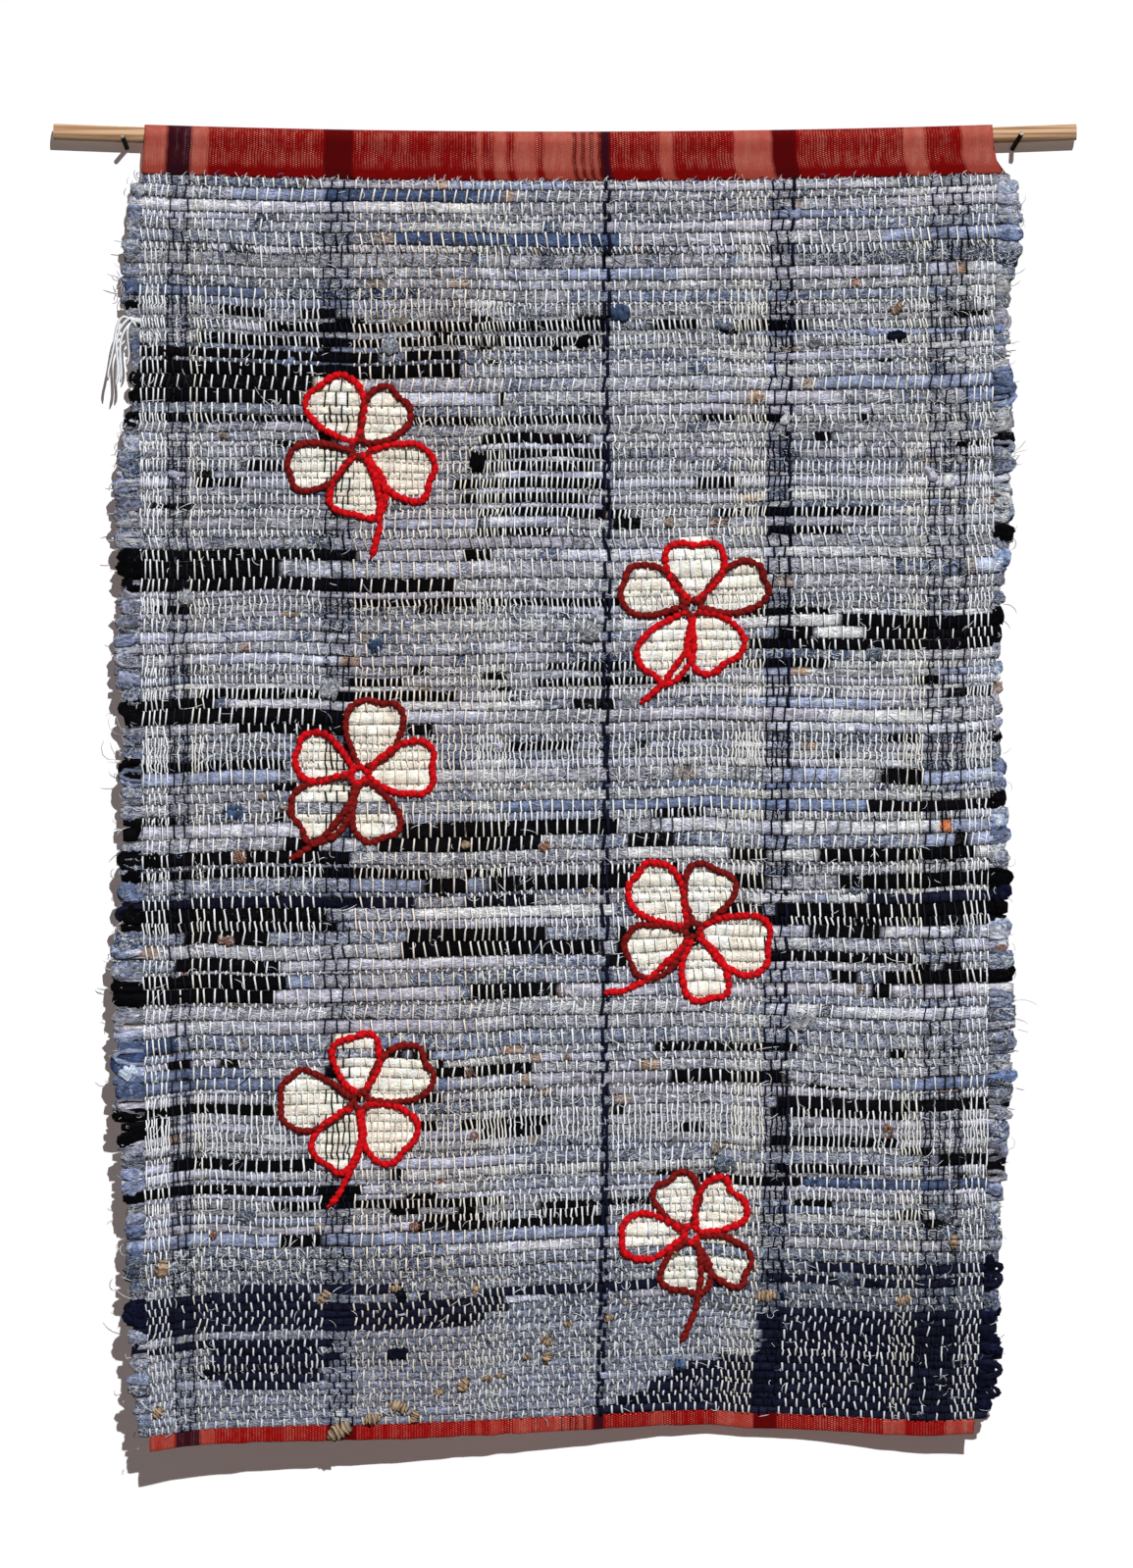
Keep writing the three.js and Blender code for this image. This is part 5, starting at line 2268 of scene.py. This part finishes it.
@dataclass
class Stage:
    """The camera, the lights, the wall that takes the shadow, and the floor."""

    middle_x: float = -3.0
    middle_z: float = -625.8
    view_tall: float = 1536.0
    away: float = 8.0
    sun: float = 3.38
    fill: float = 0.07
    sun_way: tuple[float, ...] = (-0.22, 1.0, -0.62)
    sun_wide: float = 0.9
    rear: float = 1.5
    rear_way: tuple[float, ...] = (0.3, -1.0, -0.55)
    rear_wide: float = 20
    paint: tuple[float, ...] = (0.97, 0.985, 1.0, 1)
    warmth: tuple[float, ...] = (1, 0.68, 0.58, 1)
    wall_size: float = 9.0
    wall_glow: float = 0.085
    wall_at: tuple[float, ...] = (0, 0.0012, -0.3)
    floor_size: float = 14.0
    floor_glow: float = 0.30
    floor_at: tuple[float, ...] = (0, 0, -1.9)

    def camera(self) -> None:
        """Places the camera straight in front of the cloth."""
        data = bpy.data.cameras.new("camera")
        data.lens = data.sensor_width * self.away / (self.view_tall * MM)
        data.clip_end = 60
        camera = bpy.data.objects.new("camera", data)
        camera.location = (self.middle_x * MM, -self.away, self.middle_z * MM)
        camera.rotation_euler = (math.pi / 2, 0, 0)
        bpy.context.scene.collection.objects.link(camera)
        bpy.context.scene.camera = camera

    def _sun(self, name: str, way: tuple[float, ...], power: float, width: float) -> None:
        """Adds a sun.

        Args:
            name: its name.
            way: the direction in which it shines.
            power: its strength.
            width: how wide it looks, in degrees.
        """
        data = bpy.data.lights.new(name, "SUN")
        data.energy = power
        data.angle = math.radians(width)
        lamp = bpy.data.objects.new(name, data)
        x, y, z = way
        flat = math.hypot(x, y)
        lamp.rotation_euler = (math.atan2(flat, -z), 0, math.atan2(-x, y))
        bpy.context.scene.collection.objects.link(lamp)

    def lights(self) -> None:
        """Adds the key, a soft light from behind, and the pale surroundings."""
        self._sun("key", self.sun_way, self.sun, self.sun_wide)
        self._sun("behind", self.rear_way, self.rear, self.rear_wide)
        world = bpy.data.worlds.new("surroundings")
        bpy.context.scene.world = world
        nodes = Nodes(world)
        back = nodes.tree.nodes["Background"]
        back.inputs["Color"].default_value = (1, 1, 1, 1)
        seen, glossy, through_glass = nodes.ray("Camera", "Glossy", "Transmission")
        seen = seen.either(glossy).either(through_glass)
        scale = nodes.node("ShaderNodeMapRange", {}, {0: seen, 3: self.fill, 4: 1.0})
        nodes.tree.links.new(scale.outputs[0], back.inputs["Strength"])

    def _sheet(self, name: str, size: float, place: tuple, turn: tuple, glow: float) -> None:
        """Adds a plain pale plane that shows only from its front and throws no light back.

        Args:
            name: its name.
            size: the length of its sides, in metres.
            place: its middle, in metres.
            turn: its rotation.
            glow: how strongly it glows, which warms the shadow on it.
        """
        select_none()
        bpy.ops.mesh.primitive_plane_add(size=size, location=place, rotation=turn)
        plane = bpy.context.object
        plane.name = name
        paint = Look(name, 1.0, shine=0.0)
        inputs = paint.shader.inputs
        inputs["Base Color"].default_value = self.paint
        inputs["Emission Color"].default_value = self.warmth
        inputs["Emission Strength"].default_value = glow
        clear = paint.node("ShaderNodeBsdfTransparent", {}, {}).outputs[0]
        shadow, diffuse = paint.ray("Shadow", "Diffuse")
        rear = paint.node("ShaderNodeNewGeometry", {}, {}).outputs["Backfacing"]
        share = Value(paint, rear).either(shadow).either(diffuse)
        sockets = {0: share, 1: paint.shader.outputs[0], 2: clear}
        mix = paint.node("ShaderNodeMixShader", {}, sockets).outputs[0]
        paint.tree.links.new(mix, paint.tree.nodes["Material Output"].inputs["Surface"])
        plane.data.materials.append(paint.material)

    def build(self) -> None:
        """Sets up the camera, the lights, the wall and the floor."""
        self.camera()
        self.lights()
        self._sheet("wall", self.wall_size, self.wall_at, (math.pi / 2, 0, 0), self.wall_glow)
        self._sheet("floor", self.floor_size, self.floor_at, (0, 0, 0), self.floor_glow)
        bpy.context.scene.view_settings.view_transform = "Standard"


# ---- putting it up


NAILS = (
    ("left_nail", "nail_left", -433.3, 35.0, -2.8, 9.5),
    ("right_nail", "nail_right", 433.3, 38.0, 7.6, 12.5),
)
SEEDS = {"loom": 7, "rags": 13, "warp": 11, "rest": 17}


def settle(piece: Piece, slot: str, *nodes: str) -> None:
    """Puts a piece on the body and hides the solids that it stands for.

    Args:
        piece: the piece.
        slot: not used.
        nodes: the solids that it stands for.
    """
    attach(piece, "root")
    if nodes:
        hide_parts(*nodes)


def main() -> None:
    """Builds the tapestry, its dowel and its nails, and lights them."""
    logging.basicConfig(level=logging.INFO, format="%(name)s: %(message)s")
    Stage().build()
    dress = Dresses.make()
    chance = {name: np.random.default_rng(seed) for name, seed in SEEDS.items()}

    settle(Dowel("pine_dowel", dress.pine).build(), "pine", "hanging_rod")
    for name, node, *lean in NAILS:
        settle(Nail(name, dress.steel, *lean).build(), "nail_steel", node)

    loom = Loom(chance["loom"])
    LOG.info("%d rag rows and %d warp ends", loom.rows, len(loom.end_x))
    for piece in RagRows(chance["rags"], dress.rag, loom).build():
        settle(piece, CLOTH_SLOT, CLOTH_NODE)
    for piece in Warp(chance["warp"], dress.warp, loom).build():
        settle(piece, CLOTH_SLOT)
    rng = chance["rest"]
    settle(Heading(rng, dress.heading).build(), CLOTH_SLOT, CLOTH_NODE)
    settle(Foot(rng, dress.heading).build(), CLOTH_SLOT, CLOTH_NODE)
    settle(Turns(rng, dress.rag, loom).build(), CLOTH_SLOT)
    settle(Stitching(rng, dress.yarn).build(), CLOTH_SLOT)
    for piece in Threads(rng, dress.fuzz, loom).build():
        settle(piece, CLOTH_SLOT)


if __name__ == "__main__":
    main()
